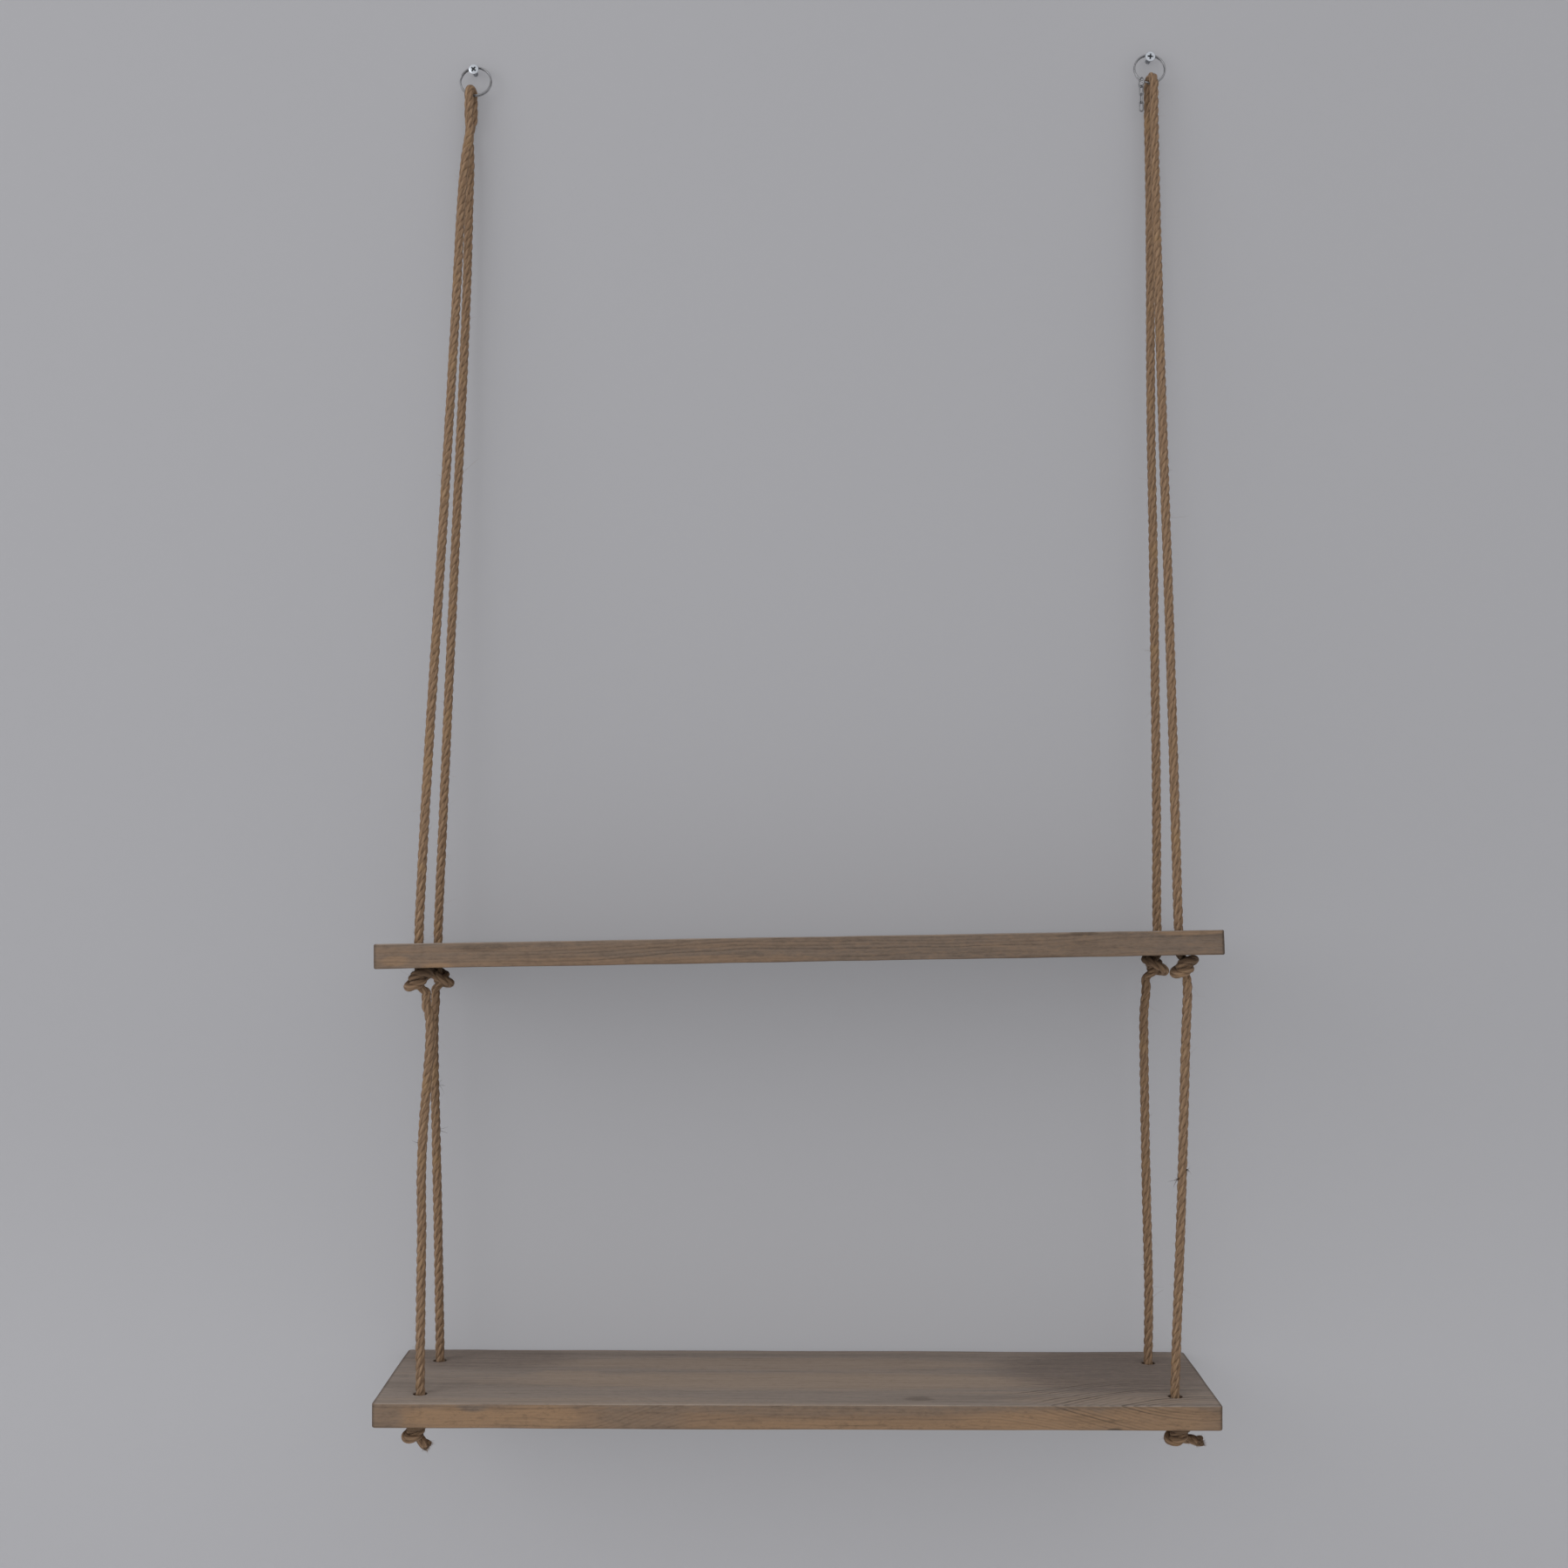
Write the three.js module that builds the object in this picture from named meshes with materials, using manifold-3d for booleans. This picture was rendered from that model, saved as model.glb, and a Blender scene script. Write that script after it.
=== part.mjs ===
// Hanging rope shelf: two pine boards carried by two doubled ropes, each rope looped through a split ring.
// Each ring hangs on a screw in the wall, and a short chain hangs from the right ring.
// Millimetres, +Z up. The wall is the plane y = 0 and the shelf's front faces -y.
// The origin lies on the wall, midway between the two screws.
import * as THREE from 'three';
import { mergeVertices } from 'three/addons/utils/BufferGeometryUtils.js';
import Module from 'manifold-3d';

const wasm = await Module();
wasm.setup();

// Wall screws
const screwSpacing = 521;
const screwRise = 9.8;
const screwLength = 40;
const screwStandOff = 9;
const screwShankDiameter = 4;
const screwPointLength = 7;
const screwHeadDiameter = 7.8;
const screwHeadCone = 2.2;
const screwHeadRim = 0.3;
const screwHeadCrown = 0.4;
const screwCrownShares = { radius: 0.55, height: 0.7 };
const crossSpan = 4.6;
const crossFloorSpan = 1.8;
const crossWidth = 1.1;
const crossDepth = 1.9;
const leftCrossTurn = THREE.MathUtils.degToRad(38);
const rightCrossTurn = THREE.MathUtils.degToRad(4);

// Split rings
const ringDiameter = 25;
const ringWireDepth = 1.5;
const ringWireWidth = 1.1;
const ringTurnGap = 0.45;
const ringTurns = 2;
const ringStepAngle = THREE.MathUtils.degToRad(32);
const ringLean = THREE.MathUtils.degToRad(12);
const ringSeatGap = 0.65;
const ringWallDistance = 6.2;
const leftRingShift = 1.3;
const rightRingShift = 0;
const leftRingTurn = THREE.MathUtils.degToRad(205);
const rightRingTurn = THREE.MathUtils.degToRad(130);

// Chain
const chainWire = 1;
const jumpRingDiameter = 8.2;
const linkLength = 8.3;
const linkWidth = 4;
const linkCount = 3;
const chainHookGap = 1.3;
const chainLinkGap = 0.35;
const chainRingAngle = THREE.MathUtils.degToRad(235);
const chainTwist = THREE.MathUtils.degToRad(20);

// Boards
const boardLength = 600;
const boardDepth = 145;
const boardThickness = 17.5;
const boardEdgeRadius = 2;
const boardCornerRadius = 4;
const holeClearance = 2.25;
const holeMouthChamfer = 0.8;
const cutOverrun = 1;

// Drops: from the screws to the upper board's front top edge, and from there to the lower board's
const upperBoardDrop = 662.9;
const tierSpacing = 329.5;

// Rope
const ropeDiameter = 7;
const ropeFaceGap = 0.3;
const ropeHingeGap = 0.85;
const upperSlipGap = 4;
const lowerSlipGap = 2;
const ropeHoleDepth = 4.5;
const ropeBoreGap = 0.95;
const bightRun = 9;

// Bights: where each one sits round its ring, how far its plane is turned from square to the wall,
// and its gaps over and beside the ring's wire
const leftBight = {
  angle: THREE.MathUtils.degToRad(254),
  turn: THREE.MathUtils.degToRad(9),
  topGap: 1.6,
  sideGap: 1.3,
};
const rightBight = {
  angle: THREE.MathUtils.degToRad(273.5),
  turn: THREE.MathUtils.degToRad(-13),
  topGap: 1.2,
  sideGap: 1.2,
};

// Overhand knots: the rope is drawn thinner where it bears on itself
const knotRopeShare = 0.7;
const knotGap = 0.6;
const knotSeatGap = 0.3;
const knotRadiusShare = 1.3;
const knotHeightShare = 0.9;
const knotRiseShare = 0.75;
const knotLeastShare = 1;
const knotCloseFrom = THREE.MathUtils.degToRad(135);
const knotCloseTo = THREE.MathUtils.degToRad(300);
const knotTurnEnd = THREE.MathUtils.degToRad(270);
const knotLeadShares = [2.1, 1.7, 1.3];
const knotLeadRadiusShares = [1, 0.92, 0.76];
const knotLeadSideShares = [1, 1, 0.6];

// How the boards hang: the upper one leans back and stands with its right end high
const upperBoardHang = {
  centreX: -10.9,
  frontTopZ: -upperBoardDrop,
  wallGap: 2,
  lean: THREE.MathUtils.degToRad(4.3),
  roll: THREE.MathUtils.degToRad(0.97),
};
const lowerBoardHang = {
  centreX: -12.1,
  frontTopZ: -(upperBoardDrop + tierSpacing),
  wallGap: 2,
  lean: THREE.MathUtils.degToRad(0.6),
  roll: THREE.MathUtils.degToRad(-0.2),
};

// Holes: the distance of each one from the board's end and from its nearer long edge
const upperHoles = {
  left_front: { end: 27.9, edge: 24.6 },
  left_back: { end: 26.8, edge: 32 },
  right_front: { end: 27.7, edge: 24.6 },
  right_back: { end: 27.1, edge: 32 },
};
const lowerHoles = {
  left_front: { end: 30.1, edge: 24.6 },
  left_back: { end: 29.5, edge: 32 },
  right_front: { end: 29.4, edge: 24.6 },
  right_back: { end: 33.1, edge: 32 },
};

// Knots: which way each one's belly points, and how far to the right of its middle the rope enters and leaves
const upperKnots = {
  left_front: { belly: Math.PI / 2, enterShare: 0.09, leaveShare: 1.05 },
  left_back: { belly: -Math.PI / 2, enterShare: -0.33, leaveShare: -0.7 },
  right_front: { belly: Math.PI / 2, enterShare: -0.55, leaveShare: 0.32 },
  right_back: { belly: -Math.PI / 2, enterShare: 0.47, leaveShare: -1.35 },
};
const lowerKnots = {
  left_front: { belly: Math.PI / 2, enterShare: 0.5 },
  left_back: { belly: -Math.PI / 2, enterShare: -0.2 },
  right_front: { belly: Math.PI / 2, enterShare: -0.45 },
  right_back: { belly: Math.PI / 2, enterShare: -0.2 },
};

// Cut tails of the lower knots, in knot units from the knot's middle, along the board's own directions
const tailPointShares = {
  left_front: [[0.1, 0.15, -0.75], [0.4, 0.1, -1.1], [0.9, 0, -1.6], [1.45, -0.15, -2.1]],
  left_back: [[-0.1, -0.15, -0.75], [-0.5, -0.2, -1.1], [-0.9, -0.3, -1.55], [-1.25, -0.4, -2]],
  right_front: [
    [0.1, 0.25, -0.75], [0.9, 0.2, -0.85], [1.7, 0.1, -0.95], [2.3, -0.3, -0.95], [2.65, -0.9, -0.9],
  ],
  right_back: [[0.1, 0.15, -0.75], [0.5, 0.3, -1.15], [0.85, 0.55, -1.6], [1.1, 0.8, -2]],
};
const tailRadiusShares = [0.9, 1, 1.05, 1.12, 1.4];

// The legs' sideways and fore-and-aft bows, in millimetres at shares of their length, chosen by hand
const upperLegBows = {
  left_front: [
    [0.02, 1.2, 0.1], [0.05, -0.5, 0.3], [0.1, -1.7, 0.5],
    [0.25, -1.2, 0.6], [0.5, -0.8, 0.6], [0.85, -1.1, 0.2],
  ],
  left_back: [
    [0.02, -2.4, -0.1], [0.05, -1.1, -0.3], [0.1, -0.5, -0.4],
    [0.22, 0.6, 0], [0.5, 0.3, 0.3], [0.85, -0.1, 0.2],
  ],
  right_front: [[0.12, -0.6, 0.5], [0.42, -0.5, 0.4], [0.64, 0.1, 0.3], [0.85, 0.1, 0.2]],
  right_back: [[0.12, 0.4, -0.3], [0.4, -0.4, 0.1], [0.55, 0.3, 0.2], [0.85, 0.7, 0.2]],
};
const lowerLegBows = {
  left_front: [
    [0.02, 1.9, -0.2], [0.05, 2.8, -0.4], [0.11, 2.9, -0.5], [0.2, 1.4, -0.5], [0.32, -0.7, -0.4],
    [0.45, -1.6, -0.3], [0.6, -0.8, 0], [0.85, -0.6, 0.3],
  ],
  left_back: [[0.05, -1.2, 0.4], [0.17, -1.6, 0.5], [0.35, -1, 0.4], [0.6, -0.4, 0.2]],
  right_front: [[0.1, -0.3, -0.5], [0.5, 0.3, -0.4], [0.85, 0.1, 0.2]],
  right_back: [[0.06, -1.5, 0.6], [0.15, -1.7, 0.6], [0.35, -1.3, 0.5], [0.55, -0.6, 0.3], [0.85, 0.7, 0.2]],
};

// Facets
const ropeSides = 10;
const knotSides = 8;
const legStepLength = 20;
const bightSteps = 18;
const bightArcPoints = 9;
const knotSteps = 50;
const knotTurnPoints = 21;
const ringSides = 8;
const ringStepsPerTurn = 30;
const roundSides = 24;
const linkSides = 6;
const linkSteps = 12;
const cornerSteps = 4;
const edgeSteps = 2;
const lengthSamples = 400;
const gapSamples = 600;
const weldDistance = 0.0001;

// Worked out from the sizes above
const ropeRadius = ropeDiameter / 2;
const knotRopeRadius = ropeRadius * knotRopeShare;
const knotUnit = (2 * knotRopeRadius + knotGap) / knotLeastShare;
const knotDrop = knotHeightShare * knotUnit + knotRopeRadius + knotSeatGap;
const holeRadius = ropeRadius + holeClearance;
const upperRopeSeat = holeClearance - ropeBoreGap;
const ringRadius = (ringDiameter - ringWireDepth) / 2;
const ringTurnPitch = ringWireWidth + ringTurnGap;
const ringBundleWidth = ringWireWidth + (ringTurns - 1) * ringTurnPitch;
const ringReach = ringDiameter / 2 - ringWireDepth - screwShankDiameter / 2 - ringSeatGap;
const jumpRingRadius = (jumpRingDiameter - chainWire) / 2;

const zinc = new THREE.MeshStandardMaterial({ color: 0xc4c8cc, roughness: 0.34, metalness: 0.9 });
const steel = new THREE.MeshStandardMaterial({ color: 0x84868a, roughness: 0.3, metalness: 1 });
const jute = new THREE.MeshStandardMaterial({ color: 0x8f7256, roughness: 0.95, metalness: 0 });
const greyPine = new THREE.MeshStandardMaterial({ color: 0x75695d, roughness: 0.85, metalness: 0 });

// A geometry's closed surface: positions only, shared corners merged, faces pointing out
function closedSurface(geometry) {
  const bare = geometry.clone();
  for (const name of Object.keys(bare.attributes)) {
    if (name !== 'position') bare.deleteAttribute(name);
  }
  const merged = mergeVertices(bare, weldDistance);
  const index = Array.from(merged.index.array);
  const kept = [];
  for (let i = 0; i < index.length; i += 3) {
    const [a, b, c] = index.slice(i, i + 3);
    if (a !== b && b !== c && c !== a) kept.push(a, b, c);
  }
  merged.setIndex(kept);
  if (signedVolume(merged) < 0) {
    for (let i = 0; i < kept.length; i += 3) [kept[i + 1], kept[i + 2]] = [kept[i + 2], kept[i + 1]];
    merged.setIndex(kept);
  }
  return merged;
}

function signedVolume(geometry) {
  const position = geometry.attributes.position;
  const index = geometry.index.array;
  const corners = [new THREE.Vector3(), new THREE.Vector3(), new THREE.Vector3()];
  let volume = 0;
  for (let i = 0; i < index.length; i += 3) {
    corners.forEach((corner, k) => corner.fromBufferAttribute(position, index[i + k]));
    volume += corners[0].dot(corners[1].clone().cross(corners[2])) / 6;
  }
  return volume;
}

function toManifold(geometry) {
  const surface = closedSurface(geometry);
  const vertProperties = new Float32Array(surface.attributes.position.array);
  const triVerts = new Uint32Array(surface.index.array);
  return new wasm.Manifold(new wasm.Mesh({ numProp: 3, vertProperties, triVerts }));
}

function fromManifold(solid) {
  const mesh = solid.getMesh();
  const geometry = new THREE.BufferGeometry();
  geometry.setAttribute('position', new THREE.BufferAttribute(new Float32Array(mesh.vertProperties), 3));
  geometry.setIndex(Array.from(mesh.triVerts));
  geometry.computeVertexNormals();
  return geometry;
}

function namedMesh(name, geometry, material) {
  const mesh = new THREE.Mesh(geometry, material);
  mesh.name = name;
  return mesh;
}

function ellipseSection(halfX, halfY, sides) {
  const points = [];
  for (let i = 0; i < sides; i += 1) {
    const turn = (i / sides) * Math.PI * 2;
    points.push(new THREE.Vector2(halfX * Math.cos(turn), halfY * Math.sin(turn)));
  }
  return new THREE.Shape(points);
}

// A rope whose thickness changes along a curve, closed by a flat face at each end
function sweptRope(curve, steps, sides, radiusAt) {
  const frames = curve.computeFrenetFrames(steps, false);
  const centres = curve.getSpacedPoints(steps);
  const vertices = [];
  const index = [];
  centres.forEach((centre, ring) => {
    const radius = radiusAt(ring / steps);
    for (let side = 0; side < sides; side += 1) {
      const turn = (side / sides) * Math.PI * 2;
      const out = frames.normals[ring].clone().multiplyScalar(Math.cos(turn) * radius);
      out.addScaledVector(frames.binormals[ring], Math.sin(turn) * radius);
      out.add(centre);
      vertices.push(out.x, out.y, out.z);
    }
  });
  for (let ring = 0; ring < steps; ring += 1) {
    for (let side = 0; side < sides; side += 1) {
      const a = ring * sides + side;
      const b = ring * sides + ((side + 1) % sides);
      index.push(a, b, b + sides, a, b + sides, a + sides);
    }
  }
  for (let side = 1; side < sides - 1; side += 1) {
    const last = steps * sides;
    index.push(0, side + 1, side);
    index.push(last, last + side, last + side + 1);
  }
  const geometry = new THREE.BufferGeometry();
  geometry.setAttribute('position', new THREE.Float32BufferAttribute(vertices, 3));
  geometry.setIndex(index);
  return closedSurface(geometry);
}

function smoothCurve(points) {
  return new THREE.CatmullRomCurve3(points, false, 'centripetal');
}

// The value along a list of values spaced evenly over the control points of a curve
function listRadius(curve, radii) {
  const lengths = curve.getLengths(lengthSamples);
  const total = lengths[lengths.length - 1];
  const places = radii.map((_, i) => lengths[Math.round((i / (radii.length - 1)) * lengthSamples)] / total);
  return (share) => {
    let i = 0;
    while (i < radii.length - 2 && places[i + 1] < share) i += 1;
    const part = THREE.MathUtils.clamp((share - places[i]) / (places[i + 1] - places[i]), 0, 1);
    return THREE.MathUtils.lerp(radii[i], radii[i + 1], part);
  };
}

// The least gap between a tube and itself, measured on points along its middle line
function leastSelfGap(curve, radiusAt, skip) {
  const points = curve.getSpacedPoints(gapSamples);
  const lag = Math.ceil((skip / curve.getLength()) * gapSamples);
  let least = Infinity;
  for (let i = 0; i <= gapSamples - lag; i += 1) {
    for (let j = i + lag; j <= gapSamples; j += 1) {
      const gap = points[i].distanceTo(points[j]) - radiusAt(i / gapSamples) - radiusAt(j / gapSamples);
      least = Math.min(least, gap);
    }
  }
  return least;
}

// One screw along y: the point in the wall, the shank, the cone under the head and its low crown
function screwGeometry() {
  const shank = screwShankDiameter / 2;
  const head = screwHeadDiameter / 2;
  const underHead = -screwStandOff;
  const rim = underHead - screwHeadCone;
  const face = rim - screwHeadRim;
  const tip = screwLength + face - screwHeadCrown;
  const profile = [
    new THREE.Vector2(0, face - screwHeadCrown),
    new THREE.Vector2(head * screwCrownShares.radius, face - screwHeadCrown * screwCrownShares.height),
    new THREE.Vector2(head, face),
    new THREE.Vector2(head, rim),
    new THREE.Vector2(shank, underHead),
    new THREE.Vector2(shank, tip - screwPointLength),
    new THREE.Vector2(0, tip),
  ];
  return new THREE.LatheGeometry(profile, roundSides);
}

// The cross recess: two wedges that narrow towards the floor of the recess
function crossWedge() {
  const half = crossSpan / 2;
  const floorHalf = crossFloorSpan / 2;
  const outline = new THREE.Shape([
    new THREE.Vector2(-half, -cutOverrun),
    new THREE.Vector2(half, -cutOverrun),
    new THREE.Vector2(floorHalf, crossDepth),
    new THREE.Vector2(-floorHalf, crossDepth),
  ]);
  const wedge = new THREE.ExtrudeGeometry(outline, { depth: crossWidth, bevelEnabled: false });
  wedge.translate(0, 0, -crossWidth / 2);
  return wedge;
}

function wallScrew(name, x, z, crossTurn) {
  const faceY = -screwStandOff - screwHeadCone - screwHeadRim - screwHeadCrown;
  let solid = toManifold(screwGeometry());
  for (const turn of [0, Math.PI / 2]) {
    const wedge = crossWedge();
    wedge.rotateY(turn + crossTurn);
    wedge.translate(0, faceY, 0);
    solid = solid.subtract(toManifold(wedge));
  }
  const mesh = namedMesh(name, fromManifold(solid), zinc);
  mesh.position.set(x, 0, z);
  return mesh;
}

// The split ring's wire: two turns side by side, the wire stepping across between them
class SplitRingCurve extends THREE.Curve {
  getPoint(t, target = new THREE.Vector3()) {
    const sweep = ringTurns * Math.PI * 2 - ringStepAngle;
    const angle = t * sweep;
    const crossStart = Math.PI * 2 - ringStepAngle;
    const across = THREE.MathUtils.smoothstep(angle, crossStart, Math.PI * 2) - 0.5;
    return target.set(ringRadius * Math.cos(angle), across * ringTurnPitch, ringRadius * Math.sin(angle));
  }
}

function splitRing(name, startTurn) {
  const section = ellipseSection(ringWireWidth / 2, ringWireDepth / 2, ringSides);
  const steps = ringTurns * ringStepsPerTurn;
  const wire = new SplitRingCurve();
  const gap = leastSelfGap(wire, () => ringWireWidth / 2, 2 * ringWireDepth);
  console.log(name, 'least gap to itself', gap.toFixed(2), 'mm');
  const options = { steps, bevelEnabled: false, extrudePath: wire };
  const geometry = closedSurface(new THREE.ExtrudeGeometry(section, options));
  geometry.rotateY(startTurn);
  return namedMesh(name, geometry, steel);
}

// The ring's frame: its centre below the shank, leaning so that its foot stands off the wall
function ringFrame(screwX, screwZ, shift) {
  const frame = new THREE.Group();
  const drop = Math.sqrt(ringReach * ringReach - shift * shift);
  frame.position.x = screwX + shift;
  frame.position.y = -ringWallDistance - drop * Math.sin(ringLean);
  frame.position.z = screwZ - drop * Math.cos(ringLean);
  frame.rotation.x = -ringLean;
  frame.updateMatrixWorld();
  return frame;
}

function ringPoint(frame, angle) {
  const point = new THREE.Vector3(ringRadius * Math.cos(angle), 0, ringRadius * Math.sin(angle));
  return point.applyMatrix4(frame.matrixWorld);
}

function jumpRing(ringCentre) {
  const loop = new THREE.TorusGeometry(jumpRingRadius, chainWire / 2, linkSides, 2 * linkSteps);
  const mesh = namedMesh('chain_jump_ring', closedSurface(loop), steel);
  const drop = jumpRingRadius - ringWireDepth / 2 - chainWire / 2 - chainHookGap;
  mesh.position.copy(ringCentre);
  mesh.position.z -= drop;
  mesh.rotation.order = 'ZYX';
  mesh.rotation.set(Math.PI / 2, 0, Math.PI / 2 + chainTwist);
  return mesh;
}

// A long link: a round ring split at its middle and drawn apart
function linkGeometry() {
  const bend = (linkWidth - chainWire) / 2;
  const geometry = new THREE.TorusGeometry(bend, chainWire / 2, linkSides, linkSteps);
  geometry.rotateZ(Math.PI / linkSteps);
  const stretch = (linkLength - linkWidth) / 2;
  const position = geometry.attributes.position;
  for (let i = 0; i < position.count; i += 1) {
    position.setY(i, position.getY(i) + Math.sign(position.getY(i)) * stretch);
  }
  return closedSurface(geometry);
}

function chainLinks(hookRing) {
  const links = [];
  const wireToWire = chainWire + chainLinkGap;
  const halfLink = (linkLength - chainWire) / 2;
  let hookZ = hookRing.position.z - jumpRingRadius;
  for (let i = 1; i <= linkCount; i += 1) {
    const link = namedMesh(`chain_link_${i}`, linkGeometry(), steel);
    link.position.set(hookRing.position.x, hookRing.position.y, hookZ + wireToWire - halfLink);
    link.rotation.order = 'ZYX';
    link.rotation.set(Math.PI / 2, 0, chainTwist + (i % 2 === 0 ? Math.PI / 2 : 0));
    hookZ = link.position.z - halfLink;
    links.push(link);
  }
  return links;
}

// A board with rounded edges and corners; its own origin is the middle of its top face
function boardBlank() {
  const halfLength = boardLength / 2;
  const halfDepth = boardDepth / 2;
  const r = boardCornerRadius;
  const outline = new THREE.Shape();
  outline.moveTo(-halfLength + r, -halfDepth);
  outline.lineTo(halfLength - r, -halfDepth);
  outline.absarc(halfLength - r, -halfDepth + r, r, -Math.PI / 2, 0);
  outline.lineTo(halfLength, halfDepth - r);
  outline.absarc(halfLength - r, halfDepth - r, r, 0, Math.PI / 2);
  outline.lineTo(-halfLength + r, halfDepth);
  outline.absarc(-halfLength + r, halfDepth - r, r, Math.PI / 2, Math.PI);
  outline.lineTo(-halfLength, -halfDepth + r);
  outline.absarc(-halfLength + r, -halfDepth + r, r, Math.PI, Math.PI * 1.5);
  const blank = new THREE.ExtrudeGeometry(outline, {
    depth: boardThickness - 2 * boardEdgeRadius,
    bevelThickness: boardEdgeRadius,
    bevelSize: boardEdgeRadius,
    bevelOffset: -boardEdgeRadius,
    bevelSegments: edgeSteps,
    curveSegments: cornerSteps,
  });
  blank.translate(0, 0, boardEdgeRadius - boardThickness);
  return blank;
}

// A rope hole's cutter: the bore with a chamfer at both mouths
function holeCutter() {
  const wide = holeRadius + holeMouthChamfer + cutOverrun;
  const profile = [
    new THREE.Vector2(0, -boardThickness - cutOverrun),
    new THREE.Vector2(wide, -boardThickness - cutOverrun),
    new THREE.Vector2(holeRadius, -boardThickness + holeMouthChamfer),
    new THREE.Vector2(holeRadius, -holeMouthChamfer),
    new THREE.Vector2(wide, cutOverrun),
    new THREE.Vector2(0, cutOverrun),
  ];
  const cutter = new THREE.LatheGeometry(profile, roundSides);
  cutter.rotateX(Math.PI / 2);
  return cutter;
}

function holePlace(corner, hole) {
  const side = corner.startsWith('left') ? -1 : 1;
  const rear = corner.endsWith('front') ? -1 : 1;
  return new THREE.Vector2(side * (boardLength / 2 - hole.end), rear * (boardDepth / 2 - hole.edge));
}

function board(name, holes) {
  let solid = toManifold(boardBlank());
  for (const [corner, hole] of Object.entries(holes)) {
    const place = holePlace(corner, hole);
    const cutter = holeCutter();
    cutter.translate(place.x, place.y, 0);
    solid = solid.subtract(toManifold(cutter));
  }
  return namedMesh(name, fromManifold(solid), greyPine);
}

// The board's frame: its rear top edge close to the wall, its front top edge at the stated height
function boardFrame(hang) {
  const frame = new THREE.Group();
  const halfDepth = boardDepth / 2;
  frame.rotation.set(-hang.lean, -hang.roll, 0);
  frame.position.x = hang.centreX;
  frame.position.y = -hang.wallGap - halfDepth * Math.cos(hang.lean);
  frame.position.z = hang.frontTopZ - halfDepth * Math.sin(hang.lean);
  frame.updateMatrixWorld();
  return frame;
}

// The overhand knot's turns in knot units: a turn either way round the middle, rising and falling as it goes,
// that closes in on the axis. The list runs from the top of the knot to its bottom.
function knotTurns(belly) {
  const points = [];
  for (let i = 0; i < knotTurnPoints; i += 1) {
    const angle = THREE.MathUtils.lerp(knotTurnEnd, -knotTurnEnd, i / (knotTurnPoints - 1));
    const closing = Math.max(Math.abs(angle) - knotCloseFrom, 0) / (knotCloseTo - knotCloseFrom);
    const radius = knotRadiusShare * Math.cos((Math.PI / 2) * closing);
    const height = -knotHeightShare * Math.sin(knotRiseShare * angle);
    const place = new THREE.Vector2(radius, 0).rotateAround(new THREE.Vector2(), angle + belly);
    points.push(new THREE.Vector3(place.x, place.y, height));
  }
  return points;
}

// The straight run above or below the knot, shifted to the right by the stated share
function knotLead(sideShare, sign) {
  const asides = knotLeadSideShares.map((share) => sideShare * share);
  return knotLeadShares.map((lead, i) => new THREE.Vector3(asides[i], 0, sign * lead));
}

// A knot under a board, with the rope's run through the hole above it and whatever leaves it below.
// The seat is how far the rope bears back against the hole's wall.
function knot(name, hole, seat, spec, slipGap, leaving, leavingRadii) {
  const middle = new THREE.Vector3(hole.x - spec.enterShare * knotUnit, hole.y, -boardThickness - knotDrop);
  const enter = knotLead(spec.enterShare, 1).slice(1);
  const shares = [...enter, ...knotTurns(spec.belly), ...leaving];
  const points = shares.map((share) => share.clone().multiplyScalar(knotUnit).add(middle));
  points.unshift(new THREE.Vector3(hole.x, hole.y + seat, -ropeHoleDepth - slipGap));
  const radii = [ropeRadius];
  knotLeadRadiusShares.slice(1).forEach((share) => radii.push(ropeRadius * share));
  for (let i = 0; i < knotTurnPoints; i += 1) radii.push(knotRopeRadius);
  radii.push(...leavingRadii);
  const curve = smoothCurve(points);
  const radiusAt = listRadius(curve, radii);
  console.log(name, 'least gap to itself', leastSelfGap(curve, radiusAt, 2 * ropeDiameter).toFixed(2), 'mm');
  const geometry = sweptRope(curve, knotSteps, knotSides, radiusAt);
  return { mesh: namedMesh(name, geometry, jute), end: points[points.length - 1] };
}

function upperKnot(corner) {
  const spec = upperKnots[corner];
  const slipGap = corner.startsWith('left') ? upperSlipGap : ropeHingeGap;
  const leaving = knotLead(spec.leaveShare, -1).reverse();
  const radii = [...knotLeadRadiusShares].reverse().map((share) => ropeRadius * share);
  const hole = holePlace(corner, upperHoles[corner]);
  return knot(`${corner}_upper_knot`, hole, upperRopeSeat, spec, slipGap, leaving, radii);
}

function lowerKnot(corner) {
  const spec = lowerKnots[corner];
  const slipGap = corner === 'left_front' ? ropeHingeGap : lowerSlipGap;
  const leaving = tailPointShares[corner].map(([x, y, z]) => new THREE.Vector3(x, y, z));
  const radii = tailRadiusShares.slice(-leaving.length).map((share) => knotRopeRadius * share);
  const hole = holePlace(corner, lowerHoles[corner]);
  return knot(`${corner}_lower_knot`, hole, 0, spec, slipGap, leaving, radii);
}

// The points where a rope leg meets a hole: above its mouth and down in the bore
function holeEntry(frame, place) {
  const above = new THREE.Vector3(place.x, place.y, ropeDiameter).applyMatrix4(frame.matrixWorld);
  const inside = new THREE.Vector3(place.x, place.y, -ropeHoleDepth).applyMatrix4(frame.matrixWorld);
  return [above, inside];
}

function bowedPoints(start, end, bows) {
  return bows.map(([share, side, fore]) => {
    const point = start.clone().lerp(end, share);
    point.x += side;
    point.y += fore;
    return point;
  });
}

function ropeLeg(name, points) {
  const curve = smoothCurve(points);
  const steps = Math.ceil(curve.getLength() / legStepLength);
  return namedMesh(name, sweptRope(curve, steps, ropeSides, () => ropeRadius), jute);
}

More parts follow.
